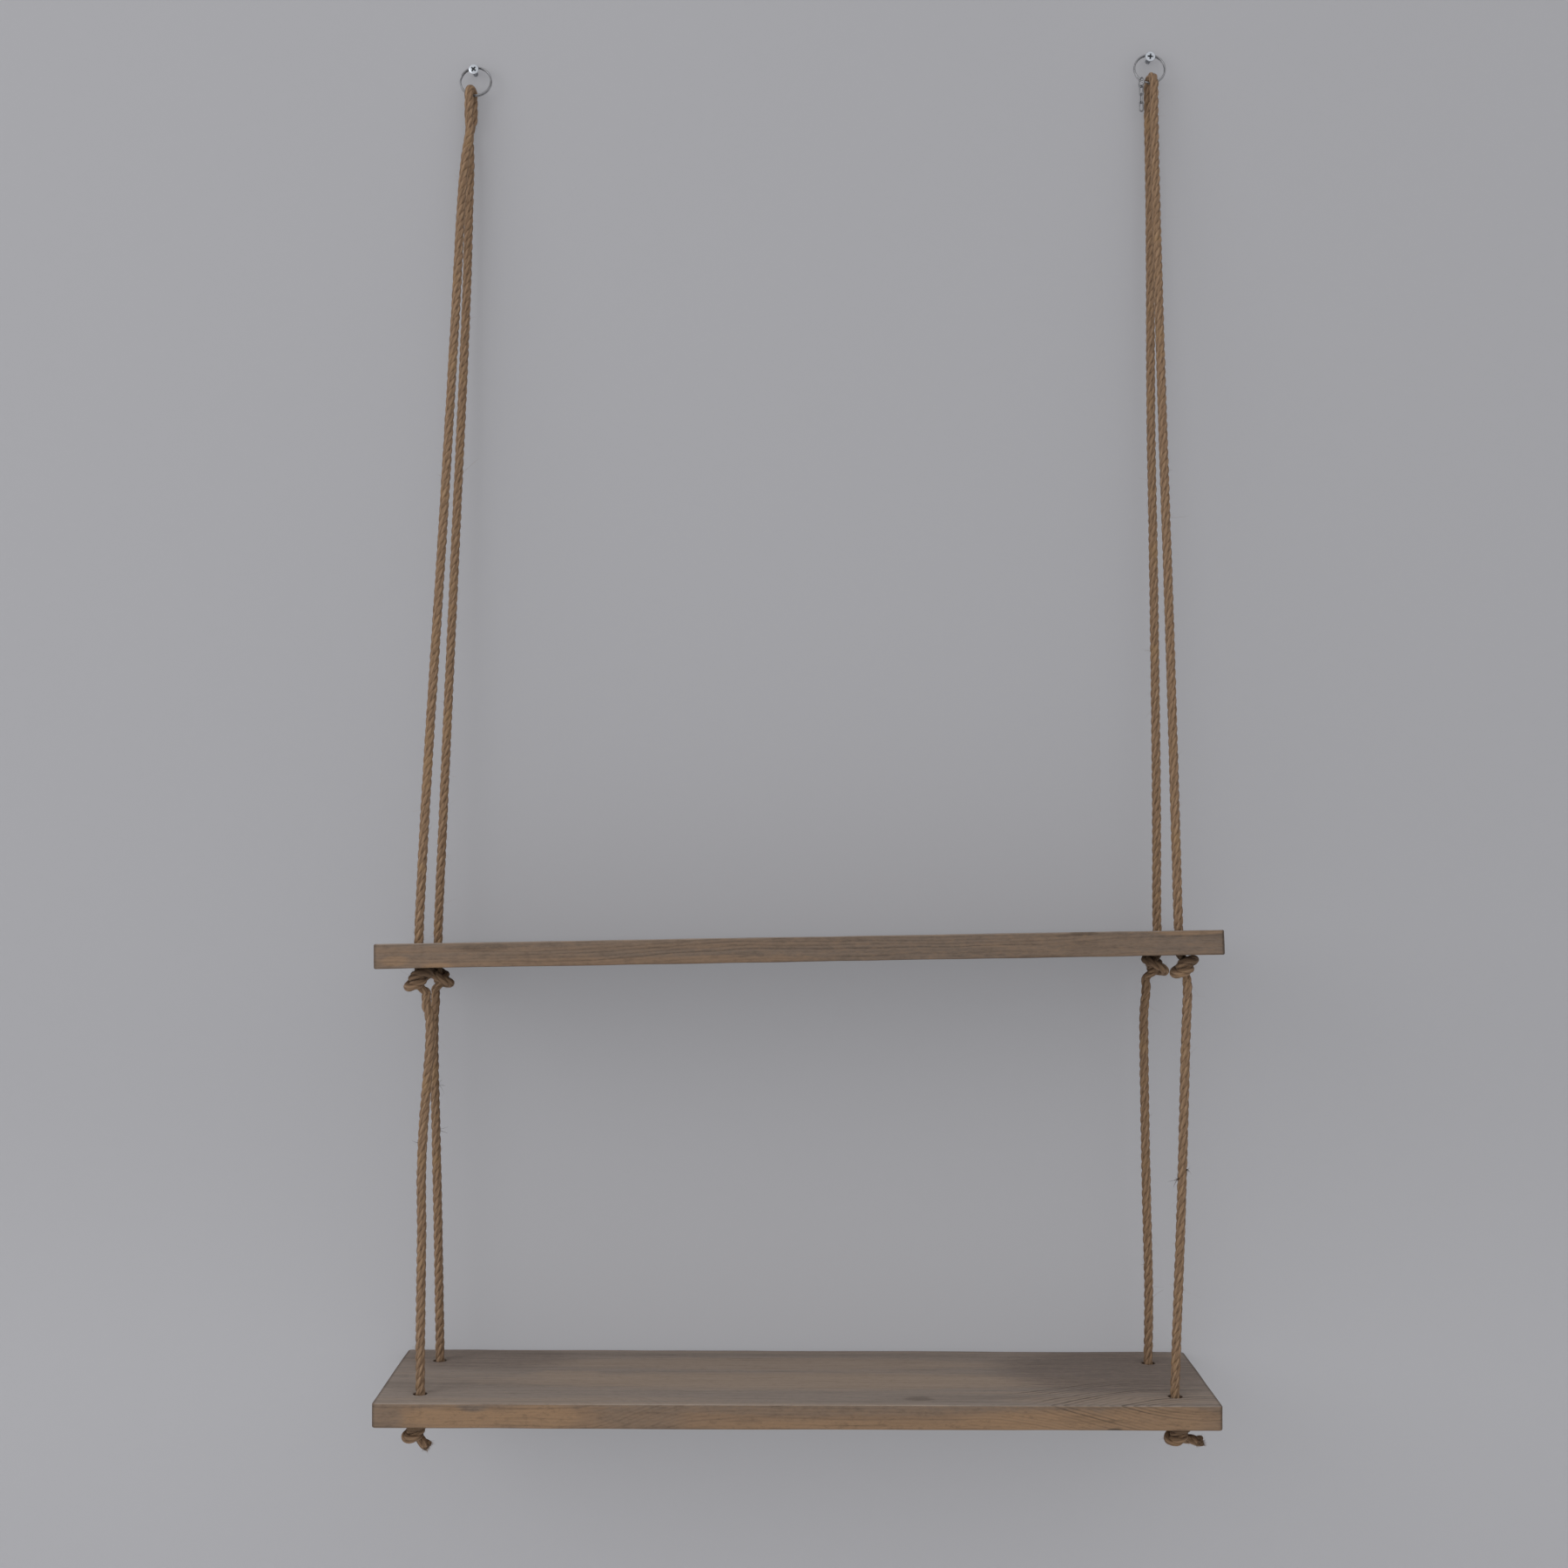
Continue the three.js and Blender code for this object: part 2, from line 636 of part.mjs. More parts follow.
// The bight over the ring's foot: half a turn in an upright plane, with a short straight run down each side
function bight(name, frame, spec) {
  const foot = ringPoint(frame, spec.angle);
  const radius = (ringBundleWidth / 2 + spec.sideGap + ropeRadius) / Math.cos(spec.turn);
  const drop = radius - ropeRadius - ringWireDepth / 2 - spec.topGap;
  const middle = new THREE.Vector3(foot.x, foot.y, foot.z - drop);
  const forward = new THREE.Vector3(-Math.sin(spec.turn), -Math.cos(spec.turn), 0);
  const points = [];
  for (let i = 0; i < bightArcPoints; i += 1) {
    const angle = (i / (bightArcPoints - 1)) * Math.PI;
    const point = middle.clone().addScaledVector(forward, radius * Math.cos(angle));
    point.z += radius * Math.sin(angle);
    points.push(point);
  }
  const down = new THREE.Vector3(0, 0, -bightRun);
  points.unshift(points[0].clone().add(down));
  points.push(points[points.length - 1].clone().add(down));
  const geometry = sweptRope(smoothCurve(points), bightSteps, ropeSides, () => ropeRadius);
  const gap = new THREE.Vector3(0, 0, -ropeFaceGap);
  return {
    mesh: namedMesh(name, geometry, jute),
    front: points[0].clone().add(gap),
    back: points[points.length - 1].clone().add(gap),
  };
}

function upperLeg(corner, start, frame) {
  const place = holePlace(corner, upperHoles[corner]);
  place.y += upperRopeSeat;
  const [above, inside] = holeEntry(frame, place);
  const below = start.clone();
  below.z -= ropeDiameter;
  const points = [start, below, ...bowedPoints(below, above, upperLegBows[corner]), above, inside];
  return ropeLeg(`${corner}_upper_rope`, points);
}

function lowerLeg(corner, knotEnd, upperFrame, lowerFrame) {
  const start = knotEnd.clone();
  start.z -= ropeHingeGap;
  start.applyMatrix4(upperFrame.matrixWorld);
  const below = knotEnd.clone();
  below.z -= ropeDiameter + ropeHingeGap;
  below.applyMatrix4(upperFrame.matrixWorld);
  const [above, inside] = holeEntry(lowerFrame, holePlace(corner, lowerHoles[corner]));
  const points = [start, below, ...bowedPoints(below, above, lowerLegBows[corner]), above, inside];
  return ropeLeg(`${corner}_lower_rope`, points);
}

// The boards with their knots
function boardWithKnots(name, holes, hang, makeKnot) {
  const frame = boardFrame(hang);
  const knots = {};
  frame.add(board(name, holes));
  for (const corner of Object.keys(holes)) {
    knots[corner] = makeKnot(corner);
    frame.add(knots[corner].mesh);
  }
  return { frame, knots };
}

const shelf = new THREE.Group();
const upper = boardWithKnots('upper_board', upperHoles, upperBoardHang, upperKnot);
const lower = boardWithKnots('lower_board', lowerHoles, lowerBoardHang, lowerKnot);
shelf.add(upper.frame, lower.frame);

const sides = [
  { side: 'left', x: -screwSpacing / 2, z: -screwRise / 2, cross: leftCrossTurn, shift: leftRingShift,
    ringTurn: leftRingTurn, loopOver: leftBight },
  { side: 'right', x: screwSpacing / 2, z: screwRise / 2, cross: rightCrossTurn, shift: rightRingShift,
    ringTurn: rightRingTurn, loopOver: rightBight },
];
for (const { side, x, z, cross, shift, ringTurn, loopOver } of sides) {
  const frame = ringFrame(x, z, shift);
  frame.add(splitRing(`${side}_split_ring`, ringTurn));
  const loop = bight(`${side}_rope_bight`, frame, loopOver);
  shelf.add(wallScrew(`${side}_wall_screw`, x, z, cross), frame, loop.mesh);
  for (const row of ['front', 'back']) {
    const corner = `${side}_${row}`;
    shelf.add(upperLeg(corner, loop[row], upper.frame));
    shelf.add(lowerLeg(corner, upper.knots[corner].end, upper.frame, lower.frame));
  }
  if (side === 'right') {
    const hook = jumpRing(ringPoint(frame, chainRingAngle));
    shelf.add(hook, ...chainLinks(hook));
  }
}

export default shelf;
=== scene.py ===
# Hanging rope shelf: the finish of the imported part, laid out as an add-on and run as a script.
import math

import bmesh
import bpy
import numpy as np
from bpy.props import FloatProperty, FloatVectorProperty, IntProperty, PointerProperty
from mathutils import Matrix, Vector


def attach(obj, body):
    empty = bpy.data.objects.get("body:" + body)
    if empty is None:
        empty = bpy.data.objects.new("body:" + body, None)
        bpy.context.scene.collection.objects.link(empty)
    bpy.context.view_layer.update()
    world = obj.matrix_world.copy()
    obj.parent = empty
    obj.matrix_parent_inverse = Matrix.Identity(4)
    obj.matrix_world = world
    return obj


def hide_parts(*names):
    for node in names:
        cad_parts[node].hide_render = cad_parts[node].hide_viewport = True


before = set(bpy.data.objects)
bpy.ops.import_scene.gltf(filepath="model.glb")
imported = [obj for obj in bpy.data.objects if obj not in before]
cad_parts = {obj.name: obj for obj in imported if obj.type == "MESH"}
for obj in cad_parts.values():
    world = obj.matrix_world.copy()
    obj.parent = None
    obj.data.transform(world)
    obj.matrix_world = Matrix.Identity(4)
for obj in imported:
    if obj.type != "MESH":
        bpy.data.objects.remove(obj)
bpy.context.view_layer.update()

bl_info = {
    "name": "Hanging Rope Shelf",
    "version": (1, 0, 0),
    "blender": (4, 5, 0),
    "location": "View3D > Sidebar > Rope Shelf",
    "description": "Builds a two-tier shelf that hangs on two doubled ropes",
    "category": "Object",
}

CORNERS = ("left_front", "left_back", "right_front", "right_back")

# Wall screws: the shanks' places on the wall, and how far each cross recess is turned
SCREW_PLACES = {
    "left": (-0.2605, -0.0049, math.radians(38)),
    "right": (0.2605, 0.0049, math.radians(4)),
}
SCREW_STAND_OFF = 0.009

# Rings: sideways shift under the screw, and where the wire's own end lies
RING_SHIFT = {"left": 0.0013, "right": 0.0}
RING_START = {"left": math.radians(205), "right": math.radians(130)}
RING_LEAN = math.radians(12)
RING_WALL_DISTANCE = 0.0062
RING_STEP_ANGLE = math.radians(32)
RING_SEAT_GAP = 0.00015

# Bights: the place round the ring and the turn from square to the wall
BIGHTS = {
    "left": (math.radians(254), math.radians(9)),
    "right": (math.radians(273.5), math.radians(-13)),
}
BIGHT_TOP_GAP = 0.00025
BIGHT_SIDE_GAP = 0.0006
BIGHT_RUN = 0.009

# Chain: where it hooks on the right ring and how its plane is turned
CHAIN_RING_ANGLE = math.radians(235)
CHAIN_TWIST = math.radians(20)
CHAIN_HOOK_GAP = 0.0007
CHAIN_LINK_GAP = 0.00035

# Boards: middle x, height of the front top edge, lean and roll, and the holes' distances from end and edge
HANGS = {
    "upper": (-0.0109, -0.6629, math.radians(4.3), math.radians(0.97)),
    "lower": (-0.0121, -0.9924, math.radians(0.6), math.radians(-0.2)),
}
# Dark frayed threads on the lower ropes: height, direction, spread, number, length and thickness
FRAYED = {
    "left_front_lower_rope": ((-0.8127, (-1.0, -0.2, 0.5), 0.3, 2, 0.009, 0.00012),),
    "left_back_lower_rope": (
        (-0.7835, (1.0, -0.4, 0.3), 0.6, 5, 0.006, 0.00014),
        (-0.817, (1.0, -0.3, -0.1), 0.1, 2, 0.013, 0.00014),
    ),
    "right_front_lower_rope": (
        (-0.831, (1.0, -0.6, -0.1), 0.25, 5, 0.0045, 0.00025),
        (-0.8365, (-1.0, -0.6, -0.35), 0.2, 5, 0.0065, 0.00025),
    ),
    "right_back_lower_rope": ((-0.92, (-1.0, -0.3, 0.4), 0.3, 2, 0.007, 0.00012),),
}

BOARD_WALL_GAP = 0.002
HOLES = {
    "upper": {
        "left_front": (0.0279, 0.0246),
        "left_back": (0.0268, 0.032),
        "right_front": (0.0277, 0.0246),
        "right_back": (0.0271, 0.032),
    },
    "lower": {
        "left_front": (0.0301, 0.0246),
        "left_back": (0.0295, 0.032),
        "right_front": (0.0294, 0.0246),
        "right_back": (0.0331, 0.032),
    },
}
UPPER_ROPE_SEAT = 0.0013
ROPE_HOLE_DEPTH = 0.0045

# Knots: the belly's direction, and how far right of the middle the rope enters and leaves, in knot units
KNOT_UNIT = 0.0055
KNOT_DROP = 0.0082
KNOT_RADIUS_SHARE = 1.3
KNOT_HEIGHT_SHARE = 0.9
KNOT_RISE_SHARE = 0.75
KNOT_TURN_END = math.radians(270)
KNOT_CLOSE_FROM = math.radians(135)
KNOT_CLOSE_SPAN = math.radians(165)
KNOT_LEADS = ((2.1, 1.0), (1.7, 1.0), (1.3, 0.6))
UPPER_KNOTS = {
    "left_front": (math.pi / 2, 0.09, 1.05),
    "left_back": (-math.pi / 2, -0.33, -0.7),
    "right_front": (math.pi / 2, -0.55, 0.32),
    "right_back": (-math.pi / 2, 0.47, -1.35),
}
LOWER_KNOTS = {
    "left_front": (math.pi / 2, 0.5),
    "left_back": (-math.pi / 2, -0.2),
    "right_front": (math.pi / 2, -0.45),
    "right_back": (math.pi / 2, -0.2),
}
TAILS = {
    "left_front": ((0.1, 0.15, -0.75), (0.4, 0.1, -1.1), (0.9, 0, -1.6), (1.45, -0.15, -2.1)),
    "left_back": ((-0.1, -0.15, -0.75), (-0.5, -0.2, -1.1), (-0.9, -0.3, -1.55), (-1.25, -0.4, -2)),
    "right_front": (
        (0.1, 0.25, -0.75), (0.9, 0.2, -0.85), (1.7, 0.1, -0.95), (2.3, -0.3, -0.95), (2.65, -0.9, -0.9),
    ),
    "right_back": ((0.1, 0.15, -0.75), (0.5, 0.3, -1.15), (0.85, 0.55, -1.6), (1.1, 0.8, -2)),
}

# The legs' bows: share of the length, sideways and fore-and-aft, in millimetres
UPPER_BOWS = {
    "left_front": (
        (0.02, 1.2, 0.1), (0.05, -0.5, 0.3), (0.1, -1.7, 0.5), (0.25, -1.2, 0.6), (0.5, -0.8, 0.6), (0.85, -1.1, 0.2),
    ),
    "left_back": (
        (0.02, -2.4, -0.1), (0.05, -1.1, -0.3), (0.1, -0.5, -0.4), (0.22, 0.6, 0), (0.5, 0.3, 0.3), (0.85, -0.1, 0.2),
    ),
    "right_front": ((0.12, -0.6, 0.5), (0.42, -0.5, 0.4), (0.64, 0.1, 0.3), (0.85, 0.1, 0.2)),
    "right_back": ((0.12, 0.4, -0.3), (0.4, -0.4, 0.1), (0.55, 0.3, 0.2), (0.85, 0.7, 0.2)),
}
LOWER_BOWS = {
    "left_front": (
        (0.02, 1.9, -0.2), (0.05, 2.8, -0.4), (0.11, 2.9, -0.5), (0.2, 1.4, -0.5), (0.32, -0.7, -0.4),
        (0.45, -1.6, -0.3), (0.6, -0.8, 0), (0.85, -0.6, 0.3),
    ),
    "left_back": ((0.05, -1.2, 0.4), (0.17, -1.6, 0.5), (0.35, -1, 0.4), (0.6, -0.4, 0.2)),
    "right_front": ((0.1, -0.3, -0.5), (0.5, 0.3, -0.4), (0.85, 0.1, 0.2)),
    "right_back": ((0.06, -1.5, 0.6), (0.15, -1.7, 0.6), (0.35, -1.3, 0.5), (0.55, -0.6, 0.3), (0.85, 0.7, 0.2)),
}


def tone(red, green, blue):
    """A colour written as it shows, 0 to 255, as the linear values that Blender keeps."""
    shares = (red / 255, green / 255, blue / 255)
    return tuple(s / 12.92 if s <= 0.04045 else ((s + 0.055) / 1.055) ** 2.4 for s in shares)


def length_prop(name, description, default):
    return FloatProperty(name=name, description=description, default=default, min=0.0, unit="LENGTH", precision=5)


def share_prop(name, description, default):
    return FloatProperty(name=name, description=description, default=default, min=0.0, subtype="FACTOR", max=4.0)


def colour_prop(name, description, default):
    return FloatVectorProperty(
        name=name, description=description, default=default, min=0.0, max=1.0, subtype="COLOR", size=3
    )


class RopeSettings(bpy.types.PropertyGroup):
    """Sizes and colours of the ropes."""

    diameter: length_prop("Diameter", "Thickness of the rope in its straight runs", 0.007)
    knot_diameter: length_prop("Knot diameter", "Thickness where the rope bears on itself in a knot", 0.0069)
    lay: length_prop("Lay", "Length in which a strand goes once round the rope", 0.021)
    step: length_prop("Step", "Distance between two rings of a strand's mesh", 0.0011)
    fuzz: IntProperty(name="Fuzz", description="Short fibres for each metre of rope", default=4500, min=0)
    hairs: IntProperty(name="Hairs", description="Long loose fibres for each metre of rope", default=260, min=0)
    fibre_radius: length_prop("Fibre radius", "Thickness of a loose fibre where it leaves its strand", 0.00005)
    # The light yarn colour is also painted on the strands' crests as a highlight, and the dark yarn colour in the
    # grooves as shade.
    light: colour_prop("Light yarn", "Colour of the palest yarns", tone(162, 136, 110))
    middle: colour_prop("Yarn", "Main colour of the jute", tone(131, 105, 82))
    dark: colour_prop("Dark yarn", "Colour of the darkest yarns and of the grooves", tone(74, 57, 44))
    gold: colour_prop("Golden patch", "Colour of the golden and greenish stretches", tone(150, 121, 84))
    # Painted shade on the rope close under a board; the dark frayed threads also take this colour as their own.
    board_shade_and_threads: colour_prop("Under a board", "Colour of the rope close under a board", tone(52, 40, 33))


class BoardSettings(bpy.types.PropertyGroup):
    """Sizes and colours of the boards."""

    length: length_prop("Length", "Length of a board", 0.6)
    depth: length_prop("Depth", "Depth of a board from front to wall", 0.145)
    thickness: length_prop("Thickness", "Thickness of a board", 0.0175)
    corner_radius: length_prop("Corner radius", "Rounding of the four upright corners", 0.003)
    edge_radius: length_prop("Edge radius", "Rounding of the long edges", 0.0011)
    hole_diameter: length_prop("Hole diameter", "Width of a rope hole", 0.0102)
    mouth_chamfer: length_prop("Mouth chamfer", "Chamfer at both mouths of a rope hole", 0.0003)
    # The top colours are the stain's greys, painted paler as well to stand in for light from above on the tops.
    grey: colour_prop("Grey wood", "Colour of the stained tops", tone(148, 136, 127))
    warm_top: colour_prop("Warm top", "Colour of the warmer bands on the tops", tone(166, 147, 130))
    dark_top: colour_prop("Dark top", "Colour of the darker bands on the tops", tone(116, 104, 97))
    stain: colour_prop("Stained edge", "Colour of the edges where the stain is heavy", tone(116, 101, 89))
    warm: colour_prop("Warm wood", "Colour of the edges where the stain is thin", tone(131, 107, 86))
    honey: colour_prop("Honey wood", "Colour of the patches with least stain", tone(148, 119, 91))
    dark: colour_prop("Dark grain", "Colour of the late wood and of the stain in the grain", tone(74, 62, 52))


class MetalSettings(bpy.types.PropertyGroup):
    """Sizes and colours of the screws, rings and chain."""

    shank: length_prop("Screw shank", "Thickness of a wall screw", 0.004)
    screw_length: length_prop("Screw length", "Length of a wall screw", 0.04)
    head: length_prop("Screw head", "Width of a screw's head", 0.0078)
    thread_pitch: length_prop("Thread pitch", "Distance between two turns of the thread", 0.0018)
    ring: length_prop("Ring", "Outer diameter of a split ring", 0.025)
    wire_depth: length_prop("Ring wire depth", "Thickness of a ring's wire across the ring's face", 0.0015)
    wire_width: length_prop("Ring wire width", "Thickness of one turn along the ring's axis", 0.0011)
    turn_gap: length_prop("Turn gap", "Gap between a ring's two turns", 0.00045)
    chain_wire: length_prop("Chain wire", "Thickness of the chain's wire", 0.001)
    jump_ring: length_prop("Jump ring", "Outer diameter of the chain's round ring", 0.0082)
    link_length: length_prop("Link length", "Outer length of a link", 0.0085)
    link_width: length_prop("Link width", "Outer width of a link", 0.004)
    zinc: colour_prop("Zinc", "Colour of the screws", tone(202, 206, 212))
    steel: colour_prop("Steel", "Colour of the rings and chain", tone(150, 150, 152))
    tarnish: colour_prop("Tarnish", "Colour of the dull spots on the metal", tone(84, 76, 68))


class StageSettings(bpy.types.PropertyGroup):
    """Camera, lamps and backdrop."""

    lens: FloatProperty(name="Lens", description="Focal length of the camera", default=47.38, unit="CAMERA")
    eye: FloatVectorProperty(
        name="Camera", description="Place of the camera", default=(-0.0215, -1.6, -0.5552), subtype="TRANSLATION"
    )
    wall: colour_prop("Wall", "Colour of the backdrop", tone(163, 163, 167))
    floor: colour_prop("Floor", "Colour of the floor", tone(236, 236, 236))
    floor_height: FloatProperty(name="Floor height", description="Height of the floor", default=-1.35, unit="LENGTH")
    sky: FloatProperty(name="Sky", description="Strength of the even light all round", default=0.86)
    lamp: FloatProperty(name="Lamp", description="Power of the soft lamp", default=14.0, unit="POWER")


# Node trees


def node(tree, kind, inputs=(), **settings):
    """Add a node. inputs maps a socket to a value or to another node's output."""
    made = tree.nodes.new(kind)
    for name, value in settings.items():
        setattr(made, name, value)
    for key, value in dict(inputs).items():
        if isinstance(value, bpy.types.NodeSocket):
            tree.links.new(value, made.inputs[key])
        else:
            made.inputs[key].default_value = value
    return made


def maths(tree, operation, *values, clamp=False):
    return node(tree, "ShaderNodeMath", dict(enumerate(values)), operation=operation, use_clamp=clamp).outputs[0]


def stretched(tree, vector, factors):
    """A vector multiplied axis by axis."""
    return node(tree, "ShaderNodeVectorMath", {0: vector, 1: factors}, operation="MULTIPLY").outputs[0]


def noise(tree, vector, scale, detail=2.0, roughness=0.5, distortion=0.0):
    values = {"Vector": vector, "Scale": scale, "Detail": detail, "Roughness": roughness, "Distortion": distortion}
    return node(tree, "ShaderNodeTexNoise", values).outputs[0]


def remap(tree, value, low, high, to_low=0.0, to_high=1.0):
    """A value's smooth way from one range to another, held at its ends."""
    values = {"Value": value, "From Min": low, "From Max": high, "To Min": to_low, "To Max": to_high}
    return node(tree, "ShaderNodeMapRange", values, interpolation_type="SMOOTHSTEP").outputs[0]


def mixed(tree, factor, first, second, blend="MIX"):
    """Two colours mixed by a factor."""
    values = {0: factor, 6: first, 7: second}
    return node(tree, "ShaderNodeMix", values, data_type="RGBA", blend_type=blend).outputs[2]


def solid(colour):
    return (*colour, 1.0)


def new_group(name, inputs, outputs):
    """A shader node group with named sockets; returns it with its two end nodes."""
    group = bpy.data.node_groups.new(name, "ShaderNodeTree")
    for label, kind, default in inputs:
        socket = group.interface.new_socket(label, in_out="INPUT", socket_type=kind)
        if default is not None:
            socket.default_value = default
    for label in outputs:
        group.interface.new_socket(label, in_out="OUTPUT", socket_type="NodeSocketFloat")
    return group, group.nodes.new("NodeGroupInput").outputs, group.nodes.new("NodeGroupOutput").inputs


def mottle_group():
    """Patches of uneven finish, used by the metals, the rope and the wood."""
    name = "Mottled finish"
    if name in bpy.data.node_groups:
        return bpy.data.node_groups[name]
    sockets = (
        ("Vector", "NodeSocketVector", None),
        ("Scale", "NodeSocketFloat", 60.0),
        ("Low", "NodeSocketFloat", 0.4),
        ("High", "NodeSocketFloat", 0.65),
    )
    group, given, out = new_group(name, sockets, ("Mask",))
    value = noise(group, given["Vector"], given["Scale"], detail=4.0, roughness=0.6)
    group.links.new(remap(group, value, given["Low"], given["High"]), out["Mask"])
    return group


def placed(tree, group, values):
    """A node group with its values or links; returns its outputs."""
    made = node(tree, "ShaderNodeGroup", node_tree=group)
    for key, value in values.items():
        if isinstance(value, bpy.types.NodeSocket):
            tree.links.new(value, made.inputs[key])
        else:
            made.inputs[key].default_value = value
    return made.outputs


def mottled(tree, vector, scale, low, high):
    return placed(tree, mottle_group(), {"Vector": vector, "Scale": scale, "Low": low, "High": high})["Mask"]


def pine_group():
    """Growth rings round a pith along the board, fine streaks and pores, in the board's own metres."""
    name = "Pine grain"
    if name in bpy.data.node_groups:
        return bpy.data.node_groups[name]
    sockets = (
        ("Vector", "NodeSocketVector", None),
        ("Ring Spacing", "NodeSocketFloat", 0.003),
        ("Pith Side", "NodeSocketFloat", 0.0),
        ("Pith Height", "NodeSocketFloat", -0.05),
        ("Left Climb", "NodeSocketFloat", 0.0),
        ("Right Climb", "NodeSocketFloat", 0.0),
        ("Wander", "NodeSocketFloat", 0.02),
    )
    group, given, out = new_group(name, sockets, ("Rings", "Bands", "Streaks", "Pores", "Height"))
    vector = given["Vector"]
    parts = node(group, "ShaderNodeSeparateXYZ", {0: vector}).outputs
    slow = noise(group, stretched(group, vector, (3.2, 9.0, 9.0)), 1.0, 2.0)
    quick = noise(group, stretched(group, vector, (16.0, 60.0, 60.0)), 1.0, 2.0)
    wander = maths(group, "MULTIPLY", maths(group, "SUBTRACT", slow, 0.5), given["Wander"])
    ripple = maths(group, "MULTIPLY", maths(group, "SUBTRACT", quick, 0.5), 0.004)
    left = maths(group, "MULTIPLY", remap(group, parts["X"], -0.06, -0.16), given["Left Climb"])
    right = maths(group, "MULTIPLY", remap(group, parts["X"], 0.13, 0.29), given["Right Climb"])
    side = maths(group, "SUBTRACT", parts["Y"], given["Pith Side"])
    height = maths(group, "SUBTRACT", parts["Z"], given["Pith Height"])
    for lift in (left, right, wander):
        height = maths(group, "ADD", height, lift)
    distance = maths(group, "SQRT", maths(group, "ADD", maths(group, "MULTIPLY", side, side),
                                          maths(group, "MULTIPLY", height, height)))
    turns = maths(group, "DIVIDE", maths(group, "ADD", distance, ripple), given["Ring Spacing"])
    share = maths(group, "FRACT", turns)
    season = node(group, "ShaderNodeTexWhiteNoise", {"W": maths(group, "FLOOR", turns)}, noise_dimensions="1D")
    rise = remap(group, share, 0.3, 0.86)
    drop = remap(group, share, 0.88, 1.0, 1.0, 0.0)
    strength = remap(group, season.outputs["Value"], 0.0, 1.0, 0.25, 1.0)
    rings = maths(group, "MULTIPLY", maths(group, "MULTIPLY", rise, drop), strength)
    bands = noise(group, stretched(group, vector, (2.4, 95.0, 95.0)), 1.0, 2.0, 0.5)
    streaks = noise(group, stretched(group, vector, (18.0, 400.0, 400.0)), 1.0, 4.0, 0.65, 0.3)
    pores = noise(group, stretched(group, vector, (260.0, 1400.0, 1400.0)), 1.0, 3.0, 0.7)
    relief = maths(group, "ADD", maths(group, "MULTIPLY", rings, 0.5), maths(group, "MULTIPLY", streaks, 0.7))
    relief = maths(group, "ADD", relief, maths(group, "MULTIPLY", pores, 0.35))
    results = {"Rings": rings, "Bands": bands, "Streaks": streaks, "Pores": pores, "Height": relief}
    for label, value in results.items():
        group.links.new(value, out[label])
    return group


def patch_group():
    """A ragged patch round a place on a board: a knot, a stain or a stretch where the grain shows more."""
    name = "Ragged patch"
    if name in bpy.data.node_groups:
        return bpy.data.node_groups[name]
    sockets = (
        ("Vector", "NodeSocketVector", None),
        ("Centre", "NodeSocketVector", (0.0, 0.0, 0.0)),
        ("Size", "NodeSocketVector", (0.02, 0.01, 0.01)),
        ("Ragged", "NodeSocketFloat", 0.5),
    )
    group, given, out = new_group(name, sockets, ("Mask",))
    vector = given["Vector"]
    offset = node(group, "ShaderNodeVectorMath", {0: vector, 1: given["Centre"]}, operation="SUBTRACT").outputs[0]
    shares = node(group, "ShaderNodeVectorMath", {0: offset, 1: given["Size"]}, operation="DIVIDE").outputs[0]
    distance = node(group, "ShaderNodeVectorMath", {0: shares}, operation="LENGTH").outputs["Value"]
    edge = noise(group, stretched(group, vector, (50.0, 300.0, 300.0)), 1.0, 3.0, 0.6)
    uneven = maths(group, "MULTIPLY", maths(group, "SUBTRACT", edge, 0.5), given["Ragged"])
    group.links.new(remap(group, maths(group, "ADD", distance, uneven), 1.15, 0.6), out["Mask"])
    return group


YARNS_ROUND = 4


def yarn_group():
    """Twisted yarns on a strand, from its map: metres along the rope, and strand number plus share round it."""
    name = "Twisted yarn"
    if name in bpy.data.node_groups:
        return bpy.data.node_groups[name]
    sockets = (
        ("Map", "NodeSocketVector", None),
        ("Girth", "NodeSocketFloat", 0.0114),
        ("Slant", "NodeSocketFloat", 0.64),
    )
    group, given, out = new_group(name, sockets, ("Yarn", "Fibre", "Crest", "Height"))
    parts = node(group, "ShaderNodeSeparateXYZ", {0: given["Map"]}).outputs
    across = maths(group, "ADD", maths(group, "MULTIPLY", parts["Y"], given["Girth"]),
                   maths(group, "MULTIPLY", parts["X"], given["Slant"]))
    place = node(group, "ShaderNodeCombineXYZ", {"X": parts["X"], "Y": across}).outputs[0]
    yarn = noise(group, stretched(group, place, (150.0, 1500.0, 1.0)), 1.0, 2.0, 0.5)
    turns = maths(group, "DIVIDE", across, maths(group, "DIVIDE", given["Girth"], 2 * math.pi * YARNS_ROUND))
    yarn = maths(group, "ADD", maths(group, "MULTIPLY", yarn, 0.8),
                 maths(group, "MULTIPLY", maths(group, "ADD", maths(group, "SINE", turns), 1.0), 0.1))
    fibre = noise(group, stretched(group, place, (420.0, 5200.0, 1.0)), 1.0, 2.0, 0.6)
    round_share = maths(group, "FRACT", parts["Y"])
    edge = maths(group, "ABSOLUTE", maths(group, "SUBTRACT", round_share, 0.5))
    crest = remap(group, edge, 0.13, 0.34, 1.0, 0.0)
    relief = maths(group, "ADD", maths(group, "MULTIPLY", yarn, 0.75), maths(group, "MULTIPLY", fibre, 0.25))
    for label, value in (("Yarn", yarn), ("Fibre", fibre), ("Crest", crest), ("Height", relief)):
        group.links.new(value, out[label])
    return group


def new_material(name):
    """An empty node material, or the one of that name; the second value is None when it is already made."""
    if name in bpy.data.materials:
        return bpy.data.materials[name], None
    material = bpy.data.materials.new(name)
    material.use_nodes = True
    material.node_tree.nodes.clear()
    return material, material.node_tree


